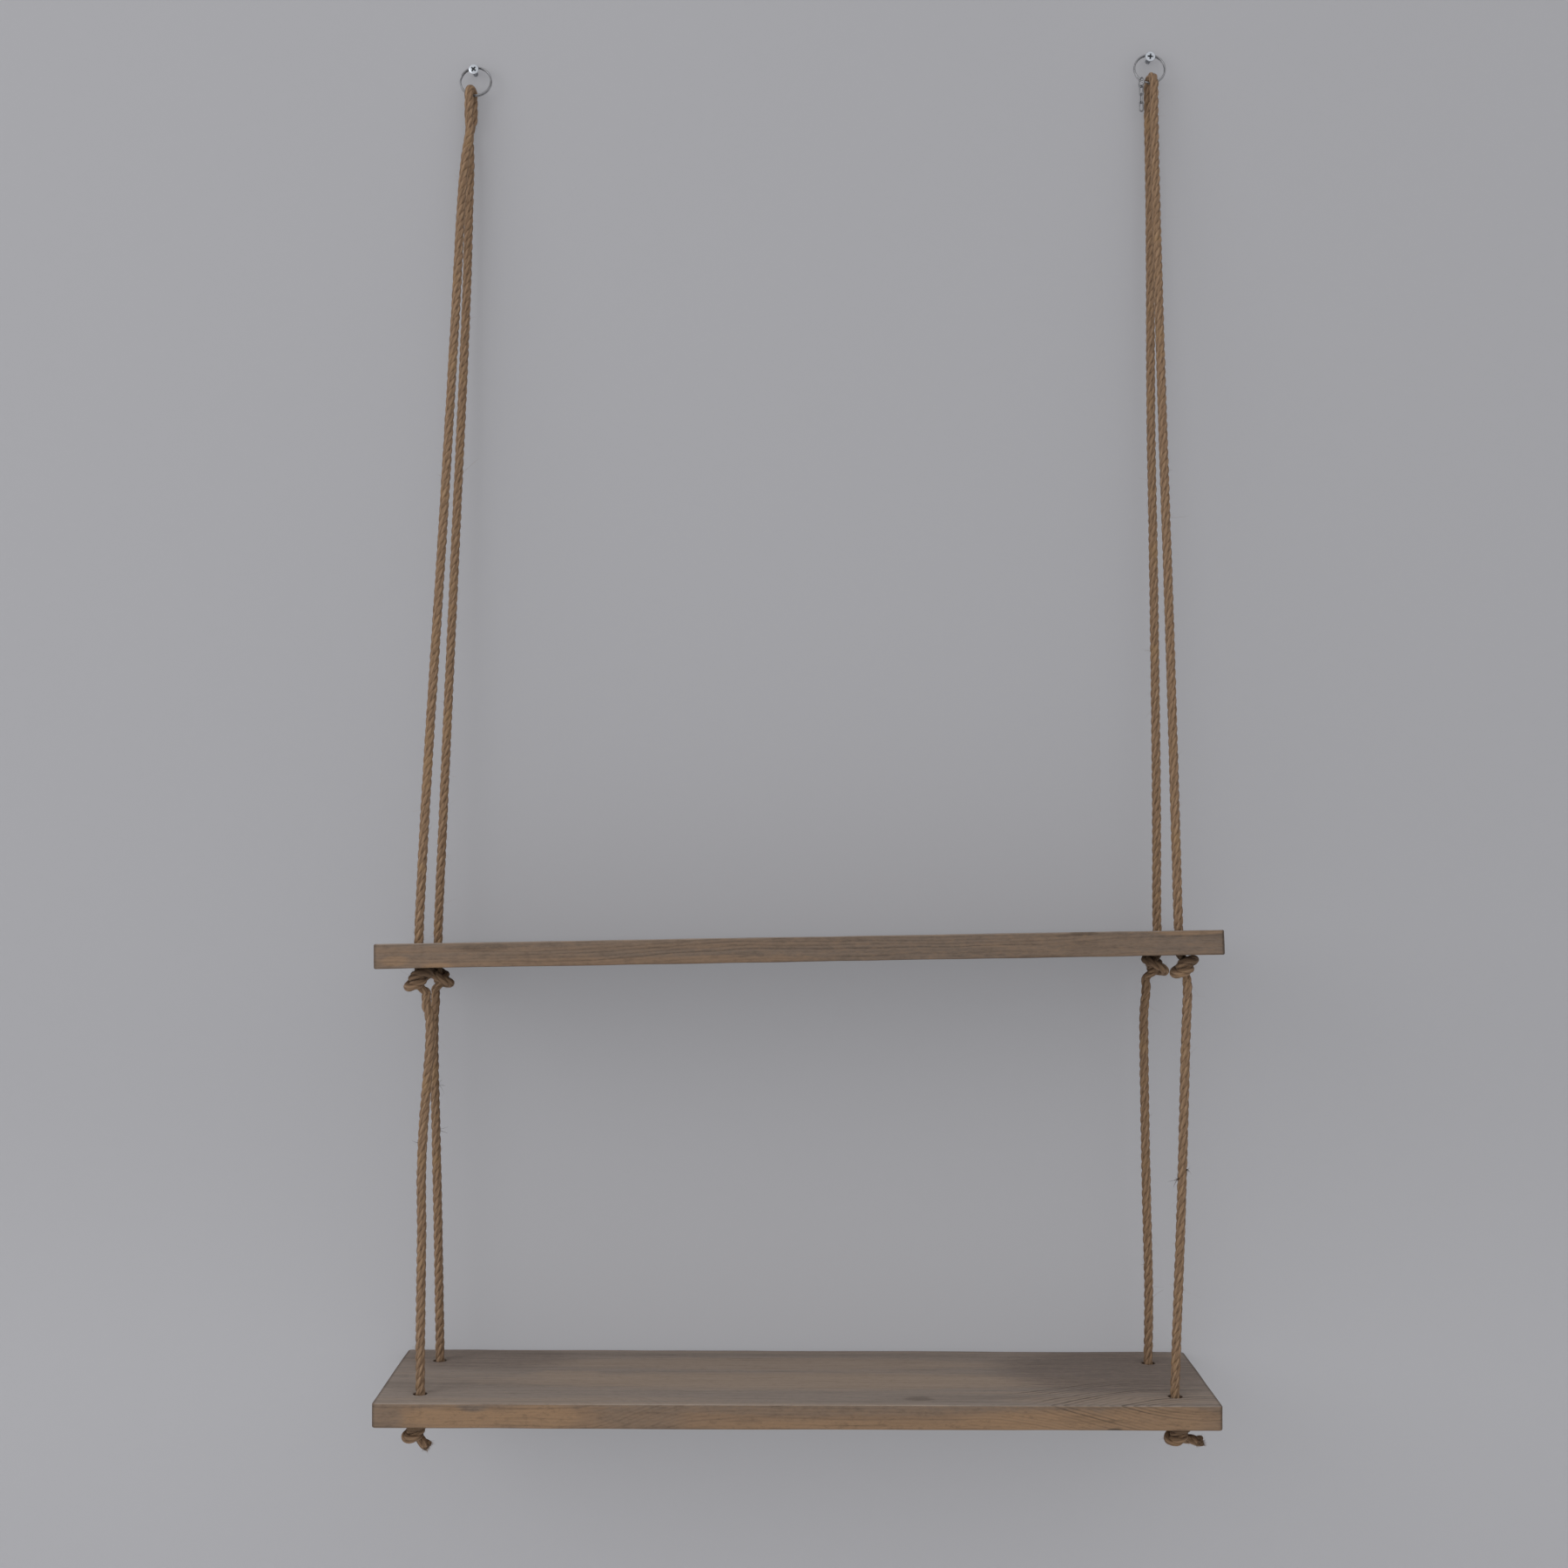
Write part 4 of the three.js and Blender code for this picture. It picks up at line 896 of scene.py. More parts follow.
class RopeMesh:
    """The mesh of one stretch of rope: laid strands and loose fibres in one piece."""

    def __init__(self, line, lay, seed):
        self.line, self.lay = line, lay
        self.vertices, self.faces, self.uvs, self.stray = [], [], [], []
        self.count = 0
        self.random = np.random.default_rng(seed)

    def add(self, vertices, faces, uvs, stray):
        self.vertices.append(vertices)
        self.faces.extend(tuple(i + self.count for i in face) for face in faces)
        self.uvs.extend(uvs)
        self.stray.append(np.full(len(vertices), stray))
        self.count += len(vertices)

    def strands(self, first, last, tongues=(0.0, 0.0), flares=(False, False)):
        """The three strands between two places, with a thinner tongue or a flare at either end."""
        line = self.line
        keep = (line.s >= first - tongues[0]) & (line.s <= last + tongues[1])
        s, p, n, b = line.s[keep], line.p[keep], line.n[keep], line.b[keep]
        radius = line.r[keep] * np.where((s < first) | (s > last), 0.9, 1.0)
        spread = np.ones(len(s))
        for flare, end in zip(flares, (first, last)):
            if flare:
                near = np.clip(1 - np.abs(s - end) / 0.006, 0, 1)
                spread += 0.3 * near**1.5
        self.middle = p
        self.runs = []
        for k in range(STRAND_COUNT):
            phase = 2 * math.pi * (s / self.lay + k / STRAND_COUNT)
            wobble = self.wobble(s, k)
            out = np.cos(phase)[:, None] * n + np.sin(phase)[:, None] * b
            centre = p + out * (0.43 * radius * spread)[:, None]
            tangent = np.gradient(centre, axis=0)
            tangent /= np.linalg.norm(tangent, axis=1, keepdims=True)
            out -= tangent * np.sum(out * tangent, axis=1, keepdims=True)
            out /= np.linalg.norm(out, axis=1, keepdims=True)
            side = np.cross(tangent, out)
            size = 0.57 * radius * wobble
            self.runs.append((s, centre, out, side, tangent, size))
            self.tube(k, s, centre, out, side, size)

    def wobble(self, s, k):
        """A strand's thickness, which changes slowly along it."""
        shares = np.ones(len(s))
        for wave, amount in ((0.037, 0.03), (0.0113, 0.025), (0.0047, 0.018)):
            shares += amount * np.sin(2 * math.pi * (s / wave + 0.37 * k) + 5 * np.sin(s * 41 + k))
        return shares

    def tube(self, k, s, centre, out, side, size):
        m = STRAND_SIDES
        turns = -math.pi + 2 * math.pi * np.arange(m) / m
        across = out[:, None] * (np.cos(turns) * 1.0)[None, :, None] + side[:, None] * (np.sin(turns) * 1.08)[None, :, None]
        rings = centre[:, None] + across * size[:, None, None]
        vertices = np.vstack([rings.reshape(-1, 3), centre[:1], centre[-1:]])
        faces, uvs = [], []
        for i in range(len(s) - 1):
            for j in range(m):
                following = (j + 1) % m
                a = i * m
                faces.append((a + j, a + following, a + m + following, a + m + j))
                low, high = k + j / m, k + (j + 1) / m
                uvs += [(s[i], low), (s[i], high), (s[i + 1], high), (s[i + 1], low)]
        last = (len(s) - 1) * m
        hubs = (len(s) * m, len(s) * m + 1)
        for j in range(m):
            following = (j + 1) % m
            faces.append((hubs[0], following, j))
            faces.append((hubs[1], last + j, last + following))
            uvs += [(s[0], k + 0.5)] * 3 + [(s[-1], k + 0.5)] * 3
        self.add(vertices, faces, uvs, 0.0)

    def fibres(self, starts, ways, outwards, lengths, radii, curls, places, rings, stray=1.0):
        """Loose fibres, each a thin bent spike with three sides."""
        ways = ways / np.linalg.norm(ways, axis=1, keepdims=True)
        sides = np.cross(ways, outwards)
        sides /= np.linalg.norm(sides, axis=1, keepdims=True)
        ups = np.cross(sides, ways)
        bends = outwards * curls[:, :1] + sides * curls[:, 1:]
        shares = np.arange(rings) / rings
        reach = shares * lengths[:, None]
        centres = starts[:, None] + ways[:, None] * reach[..., None] + bends[:, None] * (reach * shares)[..., None]
        angles = (2 * math.pi * np.arange(3) / 3)[:, None]
        section = sides[:, None] * np.cos(angles) + ups[:, None] * np.sin(angles)
        thin = radii[:, None] * (1 - 0.75 * shares)
        points = centres[:, :, None] + section[:, None] * thin[..., None, None]
        tips = starts + (ways + bends) * lengths[:, None]
        block = np.concatenate([points.reshape(len(starts), -1, 3), tips[:, None]], 1)
        block[..., 1] = np.minimum(block[..., 1], -0.0003)
        tip = 3 * rings
        faces = [(a, a - a % 3 + (a + 1) % 3, a - a % 3 + (a + 1) % 3 + 3, a + 3) for a in range(tip - 3)]
        faces += [(tip - 3 + j, tip - 3 + (j + 1) % 3, tip) for j in range(3)] + [(2, 1, 0)]
        loops = sum(len(face) for face in faces)
        every = [tuple(i + k * (tip + 1) for i in face) for k in range(len(starts)) for face in faces]
        uvs = np.repeat(places, loops, axis=0).tolist()
        self.add(block.reshape(-1, 3), every, uvs, stray)

    def loose_fibres(self, per_metre, radius, least, spread, longest, rings):
        """Fibres that stand away from the strands, most of them near the least length."""
        draw = self.random
        s = self.runs[0][0]
        count = int(per_metre * (s[-1] - s[0]))
        k = draw.integers(STRAND_COUNT, size=count)
        i = draw.integers(2, len(s) - 2, size=count)
        centre, out, side, tangent, size = (np.stack([run[j] for run in self.runs])[k, i] for j in range(1, 6))
        angle = draw.uniform(-1.4, 1.4, (count, 1))
        outward = out * np.cos(angle) + side * np.sin(angle)
        lean = draw.uniform(0.2, 1.1, (count, 1))
        ways = tangent * draw.choice((-1, 1), (count, 1)) * np.cos(lean) + outward * np.sin(lean)
        ways += side * draw.normal(0, 0.3, (count, 1))
        lengths = np.minimum(least + draw.exponential(spread, count), longest)
        starts = centre + outward * size[:, None] * 0.95
        radii = radius * draw.uniform(0.6, 1.3, count)
        places = np.stack([s[i], k + 0.5], 1)
        self.fibres(starts, ways, outward, lengths, radii, draw.normal(0, 0.45, (count, 2)), places, rings)

    def frayed(self, height, way, spread, count, length, radius):
        """Dark threads that stand away from one place on the rope's side."""
        draw = self.random
        i = int(np.argmin(np.abs(self.middle[:, 2] - height)))
        way = np.array(way) / np.linalg.norm(way)
        ways = way + draw.normal(0, spread, (count, 3))
        starts = self.middle[i] + way * 0.0026 + draw.normal(0, 0.0004, (count, 3))
        lengths = length * draw.uniform(0.5, 1.1, count)
        radii = radius * draw.uniform(0.8, 1.3, count)
        upward = np.tile((0.0, 0.0, 1.0), (count, 1))
        places = np.tile((self.runs[0][0][i], 0.5), (count, 1))
        self.fibres(starts, ways, upward, lengths, radii, draw.normal(0, 2 * spread, (count, 2)), places, 6, -1.0)

    def brush(self, at_end, count, radius):
        """Cut fibres at a tail's end."""
        draw = self.random
        i = -1 if at_end else 0
        sign = 1 if at_end else -1
        for k, (s, centre, out, side, tangent, size) in enumerate(self.runs):
            angle = draw.uniform(-math.pi, math.pi, (count, 1))
            share = np.sqrt(draw.uniform(0, 1, (count, 1)))
            outward = out[i] * np.cos(angle) + side[i] * np.sin(angle)
            starts = centre[i] + outward * size[i] * share * 0.9 - tangent[i] * sign * 0.0006
            ways = tangent[i] * sign + outward * draw.uniform(0, 0.5, (count, 1)) * share + out[i] * 0.12
            lengths = draw.uniform(0.0012, 0.0036, count)
            radii = radius * draw.uniform(1.0, 2.0, count)
            places = np.tile((s[i], k + 0.5), (count, 1))
            self.fibres(starts, ways, outward, lengths, radii, draw.normal(0, 0.3, (count, 2)), places, 5)

    def piece(self, name, material, body, nodes):
        mesh = bpy.data.meshes.new(name)
        mesh.from_pydata(np.vstack(self.vertices).tolist(), [], self.faces)
        layer = mesh.uv_layers.new(name="rope")
        layer.data.foreach_set("uv", np.array(self.uvs, np.float32).ravel())
        attribute = mesh.attributes.new("stray", "FLOAT", "POINT")
        attribute.data.foreach_set("value", np.concatenate(self.stray).astype(np.float32))
        mesh.polygons.foreach_set("use_smooth", [True] * len(mesh.polygons))
        mesh.materials.append(material)
        mesh.update()
        rope = bpy.data.objects.new(name, mesh)
        bpy.context.scene.collection.objects.link(rope)
        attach(rope, body)
        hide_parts(*nodes)
        return rope


# Operators


class BuildStage(bpy.types.Operator):
    """Camera, backdrop, floor and soft light"""

    bl_idname = "rope_shelf.stage"
    bl_label = "Stage"

    def execute(self, context):
        stage = context.scene.shelf_stage
        self.camera(context, stage)
        self.backdrop(stage)
        self.light(context, stage)
        return {"FINISHED"}

    def camera(self, context, stage):
        bpy.ops.object.camera_add(location=stage.eye, rotation=(math.radians(90), 0, 0))
        camera = context.object
        camera.name = "camera"
        camera.data.lens = stage.lens
        camera.data.sensor_width = 36
        camera.data.clip_end = 50
        context.scene.camera = camera

    def backdrop(self, stage):
        start_piece()
        bpy.ops.mesh.primitive_plane_add(size=1, location=(0, 0, stage.floor_height + 2.2), rotation=(math.radians(90), 0, 0))
        wall = bpy.context.object
        wall.name = "backdrop"
        wall.scale = (7, 4.4, 1)
        material, tree = new_material("backdrop")
        # The wall's paint is paler towards the bottom. For camera rays 35 % of the wall glows, painted light that
        # lightens the shadows falling on it.
        spot = node(tree, "ShaderNodeNewGeometry").outputs["Position"]
        drop = remap(tree, node(tree, "ShaderNodeSeparateXYZ", {0: spot}).outputs["Z"], -0.7, -1.05)
        paint = mixed(tree, drop, solid(stage.wall), solid(tone(168, 168, 172)))
        plaster = node(tree, "ShaderNodeBsdfDiffuse", {"Color": paint}).outputs[0]
        glow = mixed(tree, drop, solid(tone(174, 174, 178)), solid(tone(185, 185, 189)))
        glow = node(tree, "ShaderNodeEmission", {"Color": glow, "Strength": 1.0}).outputs[0]
        seen = node(tree, "ShaderNodeLightPath").outputs["Is Camera Ray"]
        share = maths(tree, "MULTIPLY", seen, 0.35)
        plaster = node(tree, "ShaderNodeMixShader", {0: share, 1: plaster, 2: glow}).outputs[0]
        clear = node(tree, "ShaderNodeBsdfTransparent").outputs[0]
        behind = node(tree, "ShaderNodeNewGeometry").outputs["Backfacing"]
        both = node(tree, "ShaderNodeMixShader", {0: behind, 1: plaster, 2: clear}).outputs[0]
        node(tree, "ShaderNodeOutputMaterial", {"Surface": both})
        wall.data.materials.append(material)
        start_piece()
        bpy.ops.mesh.primitive_plane_add(size=9, location=(0, 0, stage.floor_height))
        floor = bpy.context.object
        floor.name = "floor"
        material, tree = new_material("floor")
        pale = node(tree, "ShaderNodeBsdfDiffuse", {"Color": solid(stage.floor)}).outputs[0]
        node(tree, "ShaderNodeOutputMaterial", {"Surface": pale})
        floor.data.materials.append(material)

    def light(self, context, stage):
        world = bpy.data.worlds.new("soft_room")
        world.use_nodes = True
        tree = world.node_tree
        tree.nodes.clear()
        rays = node(tree, "ShaderNodeLightPath").outputs
        seen = maths(tree, "MAXIMUM", rays["Is Camera Ray"], rays["Is Transmission Ray"])
        seen = maths(tree, "MAXIMUM", seen, rays["Is Glossy Ray"])
        even = node(tree, "ShaderNodeBackground", {"Color": solid((1, 1, 1)), "Strength": stage.sky}).outputs[0]
        pale = node(tree, "ShaderNodeBackground", {"Color": solid(tone(226, 227, 229)), "Strength": 1.0}).outputs[0]
        both = node(tree, "ShaderNodeMixShader", {0: seen, 1: even, 2: pale}).outputs[0]
        node(tree, "ShaderNodeOutputWorld", {"Surface": both})
        context.scene.world = world
        place = Vector((-2.0, -1.7, 0.1))
        aim = (Vector((0, 0, -0.55)) - place).to_track_quat("-Z", "Y").to_euler()
        bpy.ops.object.light_add(type="AREA", location=place, rotation=aim)
        lamp = context.object
        lamp.name = "soft_lamp"
        lamp.data.shape = "DISK"
        lamp.data.size = 1.8
        lamp.data.energy = stage.lamp
        context.scene.view_settings.view_transform = "Standard"


class BuildRopes(bpy.types.Operator):
    """Two doubled ropes with their knots and cut tails"""

    bl_idname = "rope_shelf.ropes"
    bl_label = "Ropes"

    def execute(self, context):
        scene = context.scene
        for number, side in enumerate(("left", "right")):
            path = whole_rope(scene.shelf_rope, scene.shelf_board, scene.shelf_metal, side)
            line = RopeLine(path, scene.shelf_rope.step)
            print(side, "rope length", round(line.length, 3), "m")
            self.side(scene.shelf_rope, scene.shelf_board, line, side, 10 * (number + 1))
        return {"FINISHED"}

    def side(self, rope, board, line, side, seed):
        material = jute_material(rope, board)
        marks = line.marks
        mesh = RopeMesh(line, rope.lay, seed)
        mesh.strands(marks["back_upper_hole"], marks["front_upper_hole"], (0.004, 0.004))
        self.fluff(rope, mesh, 1.0)
        nodes = (f"{side}_rope_bight", f"{side}_front_upper_rope", f"{side}_back_upper_rope")
        mesh.piece(f"{side}_upper_cord", material, f"{side}_upper_ropes", nodes)
        for row in ("front", "back"):
            corner = f"{side}_{row}"
            stretches = (
                ("upper_knot", "upper_hole", "knot_exit", (0, 0), "upper_shelf"),
                ("lower_rope", "knot_exit", "lower_hole", (0.002, 0.003), f"{corner}_lower_leg"),
                ("lower_knot", "lower_hole", "tail", (0, 0), "lower_shelf"),
            )
            for i, (part, begin, end, tongues, body) in enumerate(stretches):
                span = [marks[f"{row}_{begin}"], marks[f"{row}_{end}"]]
                tail = part == "lower_knot"
                flares = [False, tail]
                tongues = list(tongues)
                if row == "back":
                    span.reverse()
                    flares.reverse()
                    tongues.reverse()
                mesh = RopeMesh(line, rope.lay, seed + i + (4 if row == "back" else 1))
                mesh.strands(*span, tongues, flares)
                self.fluff(rope, mesh, 1.3 if "knot" in part else 1.0)
                for thread in FRAYED.get(f"{corner}_{part}", ()):
                    mesh.frayed(*thread)
                if tail:
                    mesh.brush(row == "front", 70, rope.fibre_radius * 1.5)
                mesh.piece(f"{corner}_{part}_laid", material, body, [f"{corner}_{part}"])

    def fluff(self, rope, mesh, share):
        """Short fuzz all over, and fewer long hairs."""
        mesh.loose_fibres(rope.fuzz * share, rope.fibre_radius, 0.0006, 0.0008, 0.003, 2)
        mesh.loose_fibres(rope.hairs * share, rope.fibre_radius, 0.0015, 0.0022, 0.011, 5)
        mesh.loose_fibres(rope.hairs * share * 0.06, rope.fibre_radius * 2.2, 0.003, 0.003, 0.014, 6)


class BuildBoards(bpy.types.Operator):
    """The two pine boards with their rope holes"""

    bl_idname = "rope_shelf.boards"
    bl_label = "Boards"

    def execute(self, context):
        board = context.scene.shelf_board
        for tier, look in LOOKS.items():
            matrix = board_frame(board, tier)
            material = pine_material(f"{tier}_pine", board, matrix, look)
            piece = self.blank(board)
            self.drill(board, piece, tier)
            self.uneven(piece, tier)
            finish_piece(piece, f"{tier}_plank", matrix, material, f"{tier}_shelf", [f"{tier}_board"])
        return {"FINISHED"}

    def blank(self, board):
        """A squared board, its corners and edges rounded, cut across by even planes."""
        start_piece()
        half = board.thickness / 2
        bpy.ops.mesh.primitive_cube_add(size=1, location=(0, 0, -half))
        piece = bpy.context.object
        piece.scale = (board.length, board.depth, board.thickness)
        bpy.ops.object.transform_apply(location=True, rotation=True, scale=True)
        bpy.ops.object.mode_set(mode="EDIT")
        pick("EDGE", lambda e: abs(e.verts[0].co.z - e.verts[1].co.z) > half)
        bpy.ops.mesh.bevel(offset=board.corner_radius, segments=5, affect="EDGES")
        pick("EDGE", lambda e: abs(e.verts[0].co.z - e.verts[1].co.z) < 1e-6)
        bpy.ops.mesh.bevel(offset=board.edge_radius, segments=4, affect="EDGES")
        for axis, size, cell in ((0, board.length, 0.0075), (1, board.depth, 0.0075), (2, board.thickness, 0.004)):
            cuts = int(size / cell)
            for i in range(1, cuts):
                place = -size / 2 + size * i / cuts
                point, normal = [0, 0, -half], [0, 0, 0]
                point[axis] += place
                normal[axis] = 1
                bpy.ops.mesh.select_all(action="SELECT")
                bpy.ops.mesh.bisect(plane_co=point, plane_no=normal, threshold=1e-7)
        bpy.ops.object.mode_set(mode="OBJECT")
        return piece

    def drill(self, board, piece, tier):
        """Cut the four rope holes, with a chamfer at both mouths."""
        cutters = []
        radius = board.hole_diameter / 2
        over = 0.001
        widen = (radius + board.mouth_chamfer + over) / radius
        for corner in CORNERS:
            x, y = hole_place(board, tier, corner)
            start_piece()
            depth = board.thickness - 2 * board.mouth_chamfer
            bpy.ops.mesh.primitive_cylinder_add(
                vertices=40, radius=radius, depth=depth, location=(x, y, -board.thickness / 2)
            )
            cutter = bpy.context.object
            bpy.ops.object.transform_apply(location=True, rotation=True, scale=True)
            bpy.ops.object.mode_set(mode="EDIT")
            for sign in (1, -1):
                pick("FACE", lambda f: f.normal.z * sign > 0.9)
                rise = {"value": (0, 0, sign * (board.mouth_chamfer + over))}
                bpy.ops.mesh.extrude_region_move(TRANSFORM_OT_translate=rise)
                bpy.ops.transform.resize(value=(widen, widen, 1), center_override=(x, y, 0))
            bpy.ops.object.mode_set(mode="OBJECT")
            cutters.append(cutter)
        start_piece()
        for cutter in cutters:
            cutter.select_set(True)
        bpy.context.view_layer.objects.active = cutters[0]
        bpy.ops.object.join()
        start_piece()
        apply_modifier(piece, "holes", "BOOLEAN", operation="DIFFERENCE", object=cutters[0], solver="EXACT")
        bpy.data.objects.remove(cutters[0])

    def uneven(self, piece, tier):
        """The hand-planed surface: low waves over the whole board."""
        waves = bpy.data.textures.new(f"{tier}_waves", "CLOUDS")
        waves.noise_scale = 0.045 if tier == "upper" else 0.06
        waves.noise_depth = 1
        apply_modifier(piece, "waves", "DISPLACE", texture=waves, texture_coords="LOCAL", strength=0.0007, mid_level=0.5)


class BuildScrews(bpy.types.Operator):
    """The two wall screws with their cross recess and thread"""

    bl_idname = "rope_shelf.screws"
    bl_label = "Wall screws"

    def execute(self, context):
        metal = context.scene.shelf_metal
        material = metal_material("zinc_screw", metal.zinc, metal.steel, 500.0, 0.42, 0.24)
        for side, (x, z, turn) in SCREW_PLACES.items():
            piece = self.screw(metal, turn)
            matrix = Matrix.Translation((x, 0, z))
            finish_piece(piece, f"{side}_screw", matrix, material, "wall_screws", [f"{side}_wall_screw"], 30)
        return {"FINISHED"}

    def screw(self, metal, turn):
        """A countersunk screw along y: spun profile, thread and recess."""
        head, shank = metal.head / 2, metal.shank / 2
        core = shank * 0.8
        crown = -SCREW_STAND_OFF - 0.0029
        tip = crown + metal.screw_length
        profile = (
            (0.0, crown), (head * 0.5, crown + 0.00008), (head * 0.86, crown + 0.00026), (head * 0.97, crown + 0.00042),
            (head, crown + 0.0006), (head * 0.985, crown + 0.0008), (shank * 1.12, crown + 0.0027),
            (shank, crown + 0.0032), (shank, crown + 0.012), (core, crown + 0.013), (core, tip - 0.006),
            (core * 0.72, tip - 0.0035), (core * 0.4, tip - 0.0015), (0.0, tip),
        )
        start_piece()
        bpy.ops.mesh.primitive_circle_add(vertices=len(profile), radius=head, fill_type="NOTHING")
        piece = bpy.context.object
        bpy.ops.object.mode_set(mode="EDIT")
        shape = bmesh.from_edit_mesh(piece.data)
        shape.verts.ensure_lookup_table()
        for vertex, (radius, y) in zip(shape.verts, profile):
            vertex.co = (radius, y, 0)
        ends = {shape.verts[0], shape.verts[len(profile) - 1]}
        closing = [e for e in shape.edges if set(e.verts) == ends]
        bmesh.ops.delete(shape, geom=closing, context="EDGES_FACES")
        bmesh.update_edit_mesh(piece.data)
        bpy.ops.mesh.select_all(action="SELECT")
        bpy.ops.mesh.spin(steps=40, angle=2 * math.pi, center=(0, 0, 0), axis=(0, 1, 0))
        outward_normals()
        bpy.ops.object.mode_set(mode="OBJECT")
        self.cut_recess(piece, crown, turn)
        self.add_thread(metal, piece, core, crown + 0.0125, tip)
        # Painted shade inside the cross recess, and less of it round the rim of the head.
        painted_shade = piece.data.attributes.new("painted_shade", "FLOAT", "POINT")
        places = np.array([v.co for v in piece.data.vertices])
        out, deep = np.hypot(places[:, 0], places[:, 2]), places[:, 1] - crown
        inside = (deep > 0.0005) & (deep < 0.0025) & (out < 0.003)
        rim = (deep < 0.003) & (out > head * 0.9)
        painted_shade.data.foreach_set("value", np.where(inside, 1.0, np.where(rim, 0.4, 0.0)).astype(np.float32))
        return piece

    def cut_recess(self, piece, crown, turn):
        """Two crossed wedges that narrow towards the floor of the recess."""
        for angle in (turn, turn + math.pi / 2):
            start_piece()
            bpy.ops.mesh.primitive_cube_add(size=1, location=(0, crown + 0.00045, 0))
            wedge = bpy.context.object
            wedge.scale = (0.0058, 0.0029, 0.0015)
            bpy.ops.object.transform_apply(location=True, rotation=True, scale=True)
            bpy.ops.object.mode_set(mode="EDIT")
            pick("FACE", lambda f: f.normal.y > 0.9)
            bpy.ops.transform.resize(value=(0.36, 1, 0.55), center_override=(0, crown + 0.0019, 0))
            pick("EDGE", lambda e: True)
            bpy.ops.mesh.bevel(offset=0.00012, segments=2, affect="EDGES")
            bpy.ops.mesh.select_all(action="SELECT")
            bpy.ops.object.mode_set(mode="OBJECT")
            wedge.data.transform(Matrix.Rotation(angle, 4, "Y"))
            apply_modifier(piece, "recess", "BOOLEAN", operation="DIFFERENCE", object=wedge, solver="EXACT")
            bpy.data.objects.remove(wedge)

    def add_thread(self, metal, piece, core, begin, tip):
        """A thread: a three-cornered section drawn round the core by a screw modifier."""
        turns = int((tip - 0.003 - begin) / metal.thread_pitch)
        start_piece()
        bpy.ops.mesh.primitive_circle_add(
            vertices=3, radius=0.00055, fill_type="NGON", location=(core + 0.0002, begin, 0), rotation=(0, 0, 0)
        )
        thread = bpy.context.object
        bpy.ops.object.transform_apply(location=True, rotation=True, scale=True)
        apply_modifier(
            thread, "turns", "SCREW", axis="Y", angle=2 * math.pi, screw_offset=metal.thread_pitch,
            iterations=turns, steps=20, render_steps=20, use_merge_vertices=False,
        )
        bpy.ops.object.mode_set(mode="EDIT")
        outward_normals()
        bpy.ops.object.mode_set(mode="OBJECT")
        start_piece()
        apply_modifier(piece, "thread", "BOOLEAN", operation="UNION", object=thread, solver="EXACT")
        bpy.data.objects.remove(thread)


class BuildRings(bpy.types.Operator):
    """The two split rings, each of two turns of wire"""

    bl_idname = "rope_shelf.rings"
    bl_label = "Split rings"

    def execute(self, context):
        metal = context.scene.shelf_metal
        material = metal_material("ring_steel", metal.steel, metal.tarnish, 110.0, 0.4, 0.22)
        for side in ("left", "right"):
            piece = self.ring(metal)
            turn = Matrix.Rotation(RING_START[side], 4, "Y")
            matrix = ring_frame(metal, side) @ turn
            finish_piece(piece, f"{side}_ring_wire", matrix, material, f"{side}_ring", [f"{side}_split_ring"])
        return {"FINISHED"}

    def ring(self, metal):
        """A rounded wire section spun through one turn, a step across and another turn."""
        radius = (metal.ring - metal.wire_depth) / 2
        pitch = metal.wire_width + metal.turn_gap
        start_piece()
        bpy.ops.mesh.primitive_circle_add(
            vertices=12, radius=0.5, fill_type="NGON", location=(radius, -pitch / 2, 0)
        )
        piece = bpy.context.object
        piece.scale = (metal.wire_depth * 0.86, metal.wire_width, 1)
        bpy.ops.object.transform_apply(location=True, rotation=True, scale=True)
        bpy.ops.object.mode_set(mode="EDIT")
        bpy.ops.mesh.select_all(action="SELECT")
        flat = 2 * math.pi - RING_STEP_ANGLE
        spun = {"center": (0, 0, 0), "axis": (0, -1, 0), "use_auto_merge": False}
        bpy.ops.mesh.spin(steps=82, angle=flat, **spun)
        steps = 10
        for i in range(steps):
            bpy.ops.mesh.spin(steps=1, angle=RING_STEP_ANGLE / steps, **spun)
            before, after = (s * s * (3 - 2 * s) for s in (i / steps, (i + 1) / steps))
            bpy.ops.transform.translate(value=(0, pitch * (after - before), 0))
        bpy.ops.mesh.spin(steps=82, angle=flat, **spun)
        bpy.ops.mesh.select_all(action="SELECT")
        bpy.ops.mesh.normals_make_consistent(inside=False)
        bpy.ops.object.mode_set(mode="OBJECT")
        return piece


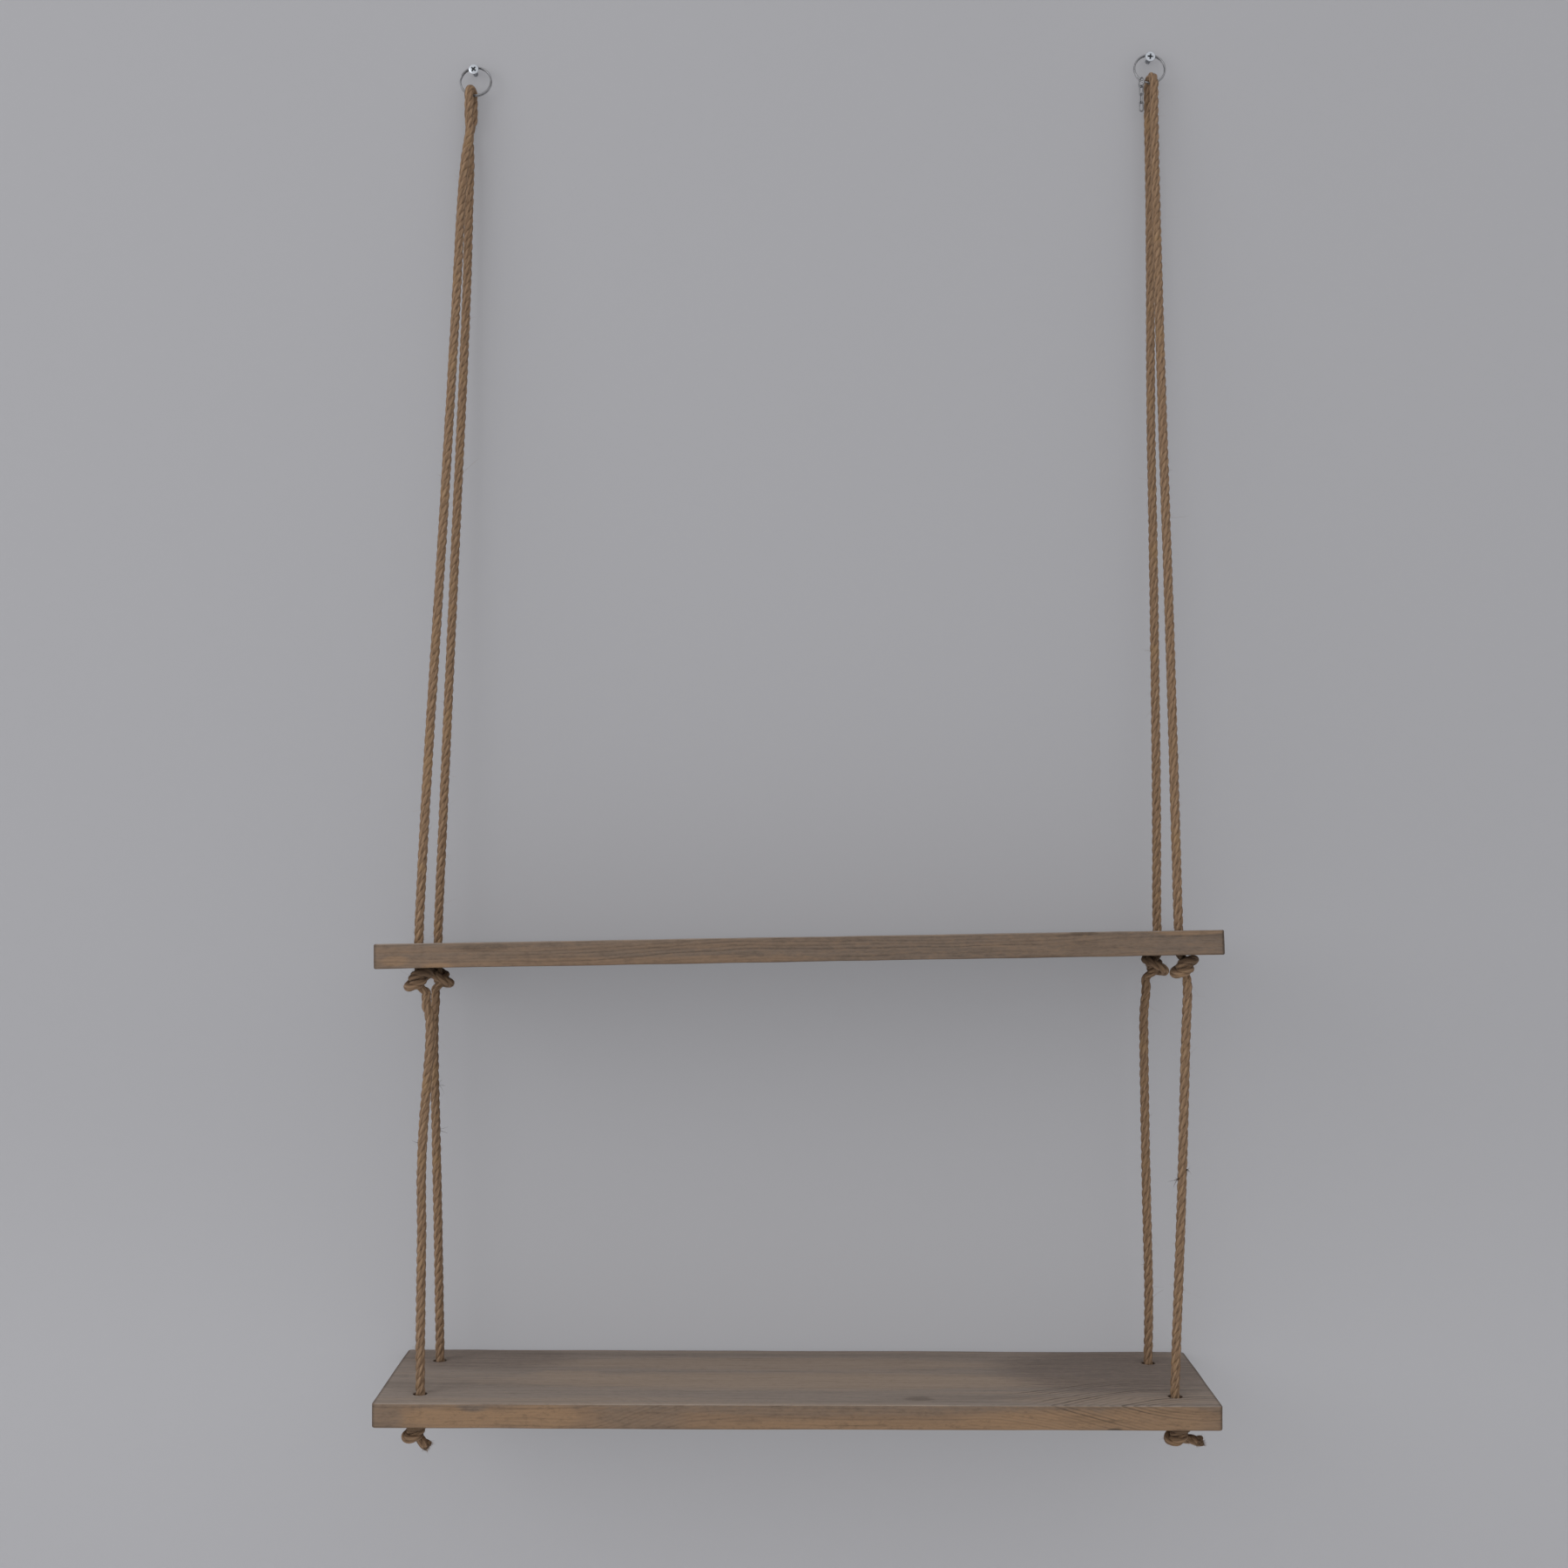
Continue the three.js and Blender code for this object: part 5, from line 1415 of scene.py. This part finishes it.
class BuildChain(bpy.types.Operator):
    """The jump ring and three links that hang from the right ring"""

    bl_idname = "rope_shelf.chain"
    bl_label = "Chain"

    def execute(self, context):
        metal = context.scene.shelf_metal
        material = metal_material("chain_steel", metal.steel, metal.tarnish, 500.0, 0.42, 0.24)
        hook = ring_point(metal, "right", CHAIN_RING_ANGLE)
        radius = (metal.jump_ring - metal.chain_wire) / 2
        centre = hook - Vector((0, 0, radius - metal.wire_depth / 2 - metal.chain_wire / 2 - CHAIN_HOOK_GAP))
        upright = Matrix.Rotation(math.radians(90), 4, "X")
        quarter = math.radians(90)
        turn = Matrix.Rotation(quarter + CHAIN_TWIST, 4, "Z")
        piece = self.loop(radius, metal.chain_wire, 0.0)
        matrix = Matrix.Translation(centre) @ turn @ upright
        finish_piece(piece, "jump_ring_wire", matrix, material, "jump_ring", ["chain_jump_ring"])
        half = (metal.link_length - metal.chain_wire) / 2
        bend = (metal.link_width - metal.chain_wire) / 2
        hang = centre.z - radius
        for i in (1, 2, 3):
            middle = Vector((centre.x, centre.y, hang + metal.chain_wire + CHAIN_LINK_GAP - half))
            turn = Matrix.Rotation(CHAIN_TWIST + (quarter if i == 2 else 0), 4, "Z")
            piece = self.loop(bend, metal.chain_wire, half - bend)
            matrix = Matrix.Translation(middle) @ turn @ upright
            finish_piece(piece, f"link_{i}_wire", matrix, material, f"link_{i}", [f"chain_link_{i}"])
            hang = middle.z - half
        return {"FINISHED"}

    def loop(self, radius, wire, stretch):
        """A wire loop: a ring whose two halves are drawn apart."""
        start_piece()
        bpy.ops.mesh.primitive_torus_add(
            major_segments=40, minor_segments=14, major_radius=radius, minor_radius=wire / 2,
            rotation=(0, 0, math.radians(4.5)),
        )
        piece = bpy.context.object
        bpy.ops.object.transform_apply(location=True, rotation=True, scale=True)
        bpy.ops.object.mode_set(mode="EDIT")
        for sign in (1, -1):
            pick("VERT", lambda v: v.co.y * sign > 0)
            bpy.ops.transform.translate(value=(0, sign * stretch, 0))
        bpy.ops.object.mode_set(mode="OBJECT")
        return piece


class ShelfPanel(bpy.types.Panel):
    """Lists the pieces of the shelf in the sidebar"""

    bl_idname = "VIEW3D_PT_rope_shelf"
    bl_label = "Hanging Rope Shelf"
    bl_space_type = "VIEW_3D"
    bl_region_type = "UI"
    bl_category = "Rope Shelf"

    def draw(self, context):
        for operator in OPERATORS:
            self.layout.operator(operator.bl_idname)


OPERATORS = (BuildStage, BuildRopes, BuildBoards, BuildScrews, BuildRings, BuildChain)
SETTINGS = {
    "shelf_rope": RopeSettings,
    "shelf_board": BoardSettings,
    "shelf_metal": MetalSettings,
    "shelf_stage": StageSettings,
}


def register():
    for name, group in SETTINGS.items():
        bpy.utils.register_class(group)
        setattr(bpy.types.Scene, name, PointerProperty(type=group))
    for operator in OPERATORS:
        bpy.utils.register_class(operator)
    bpy.utils.register_class(ShelfPanel)


def unregister():
    bpy.utils.unregister_class(ShelfPanel)
    for operator in reversed(OPERATORS):
        bpy.utils.unregister_class(operator)
    for name, group in reversed(SETTINGS.items()):
        delattr(bpy.types.Scene, name)
        bpy.utils.unregister_class(group)


def main():
    """Build every piece in order."""
    register()
    bpy.ops.rope_shelf.stage()
    bpy.ops.rope_shelf.ropes()
    bpy.ops.rope_shelf.boards()
    bpy.ops.rope_shelf.screws()
    bpy.ops.rope_shelf.rings()
    bpy.ops.rope_shelf.chain()


if __name__ == "__main__":
    main()
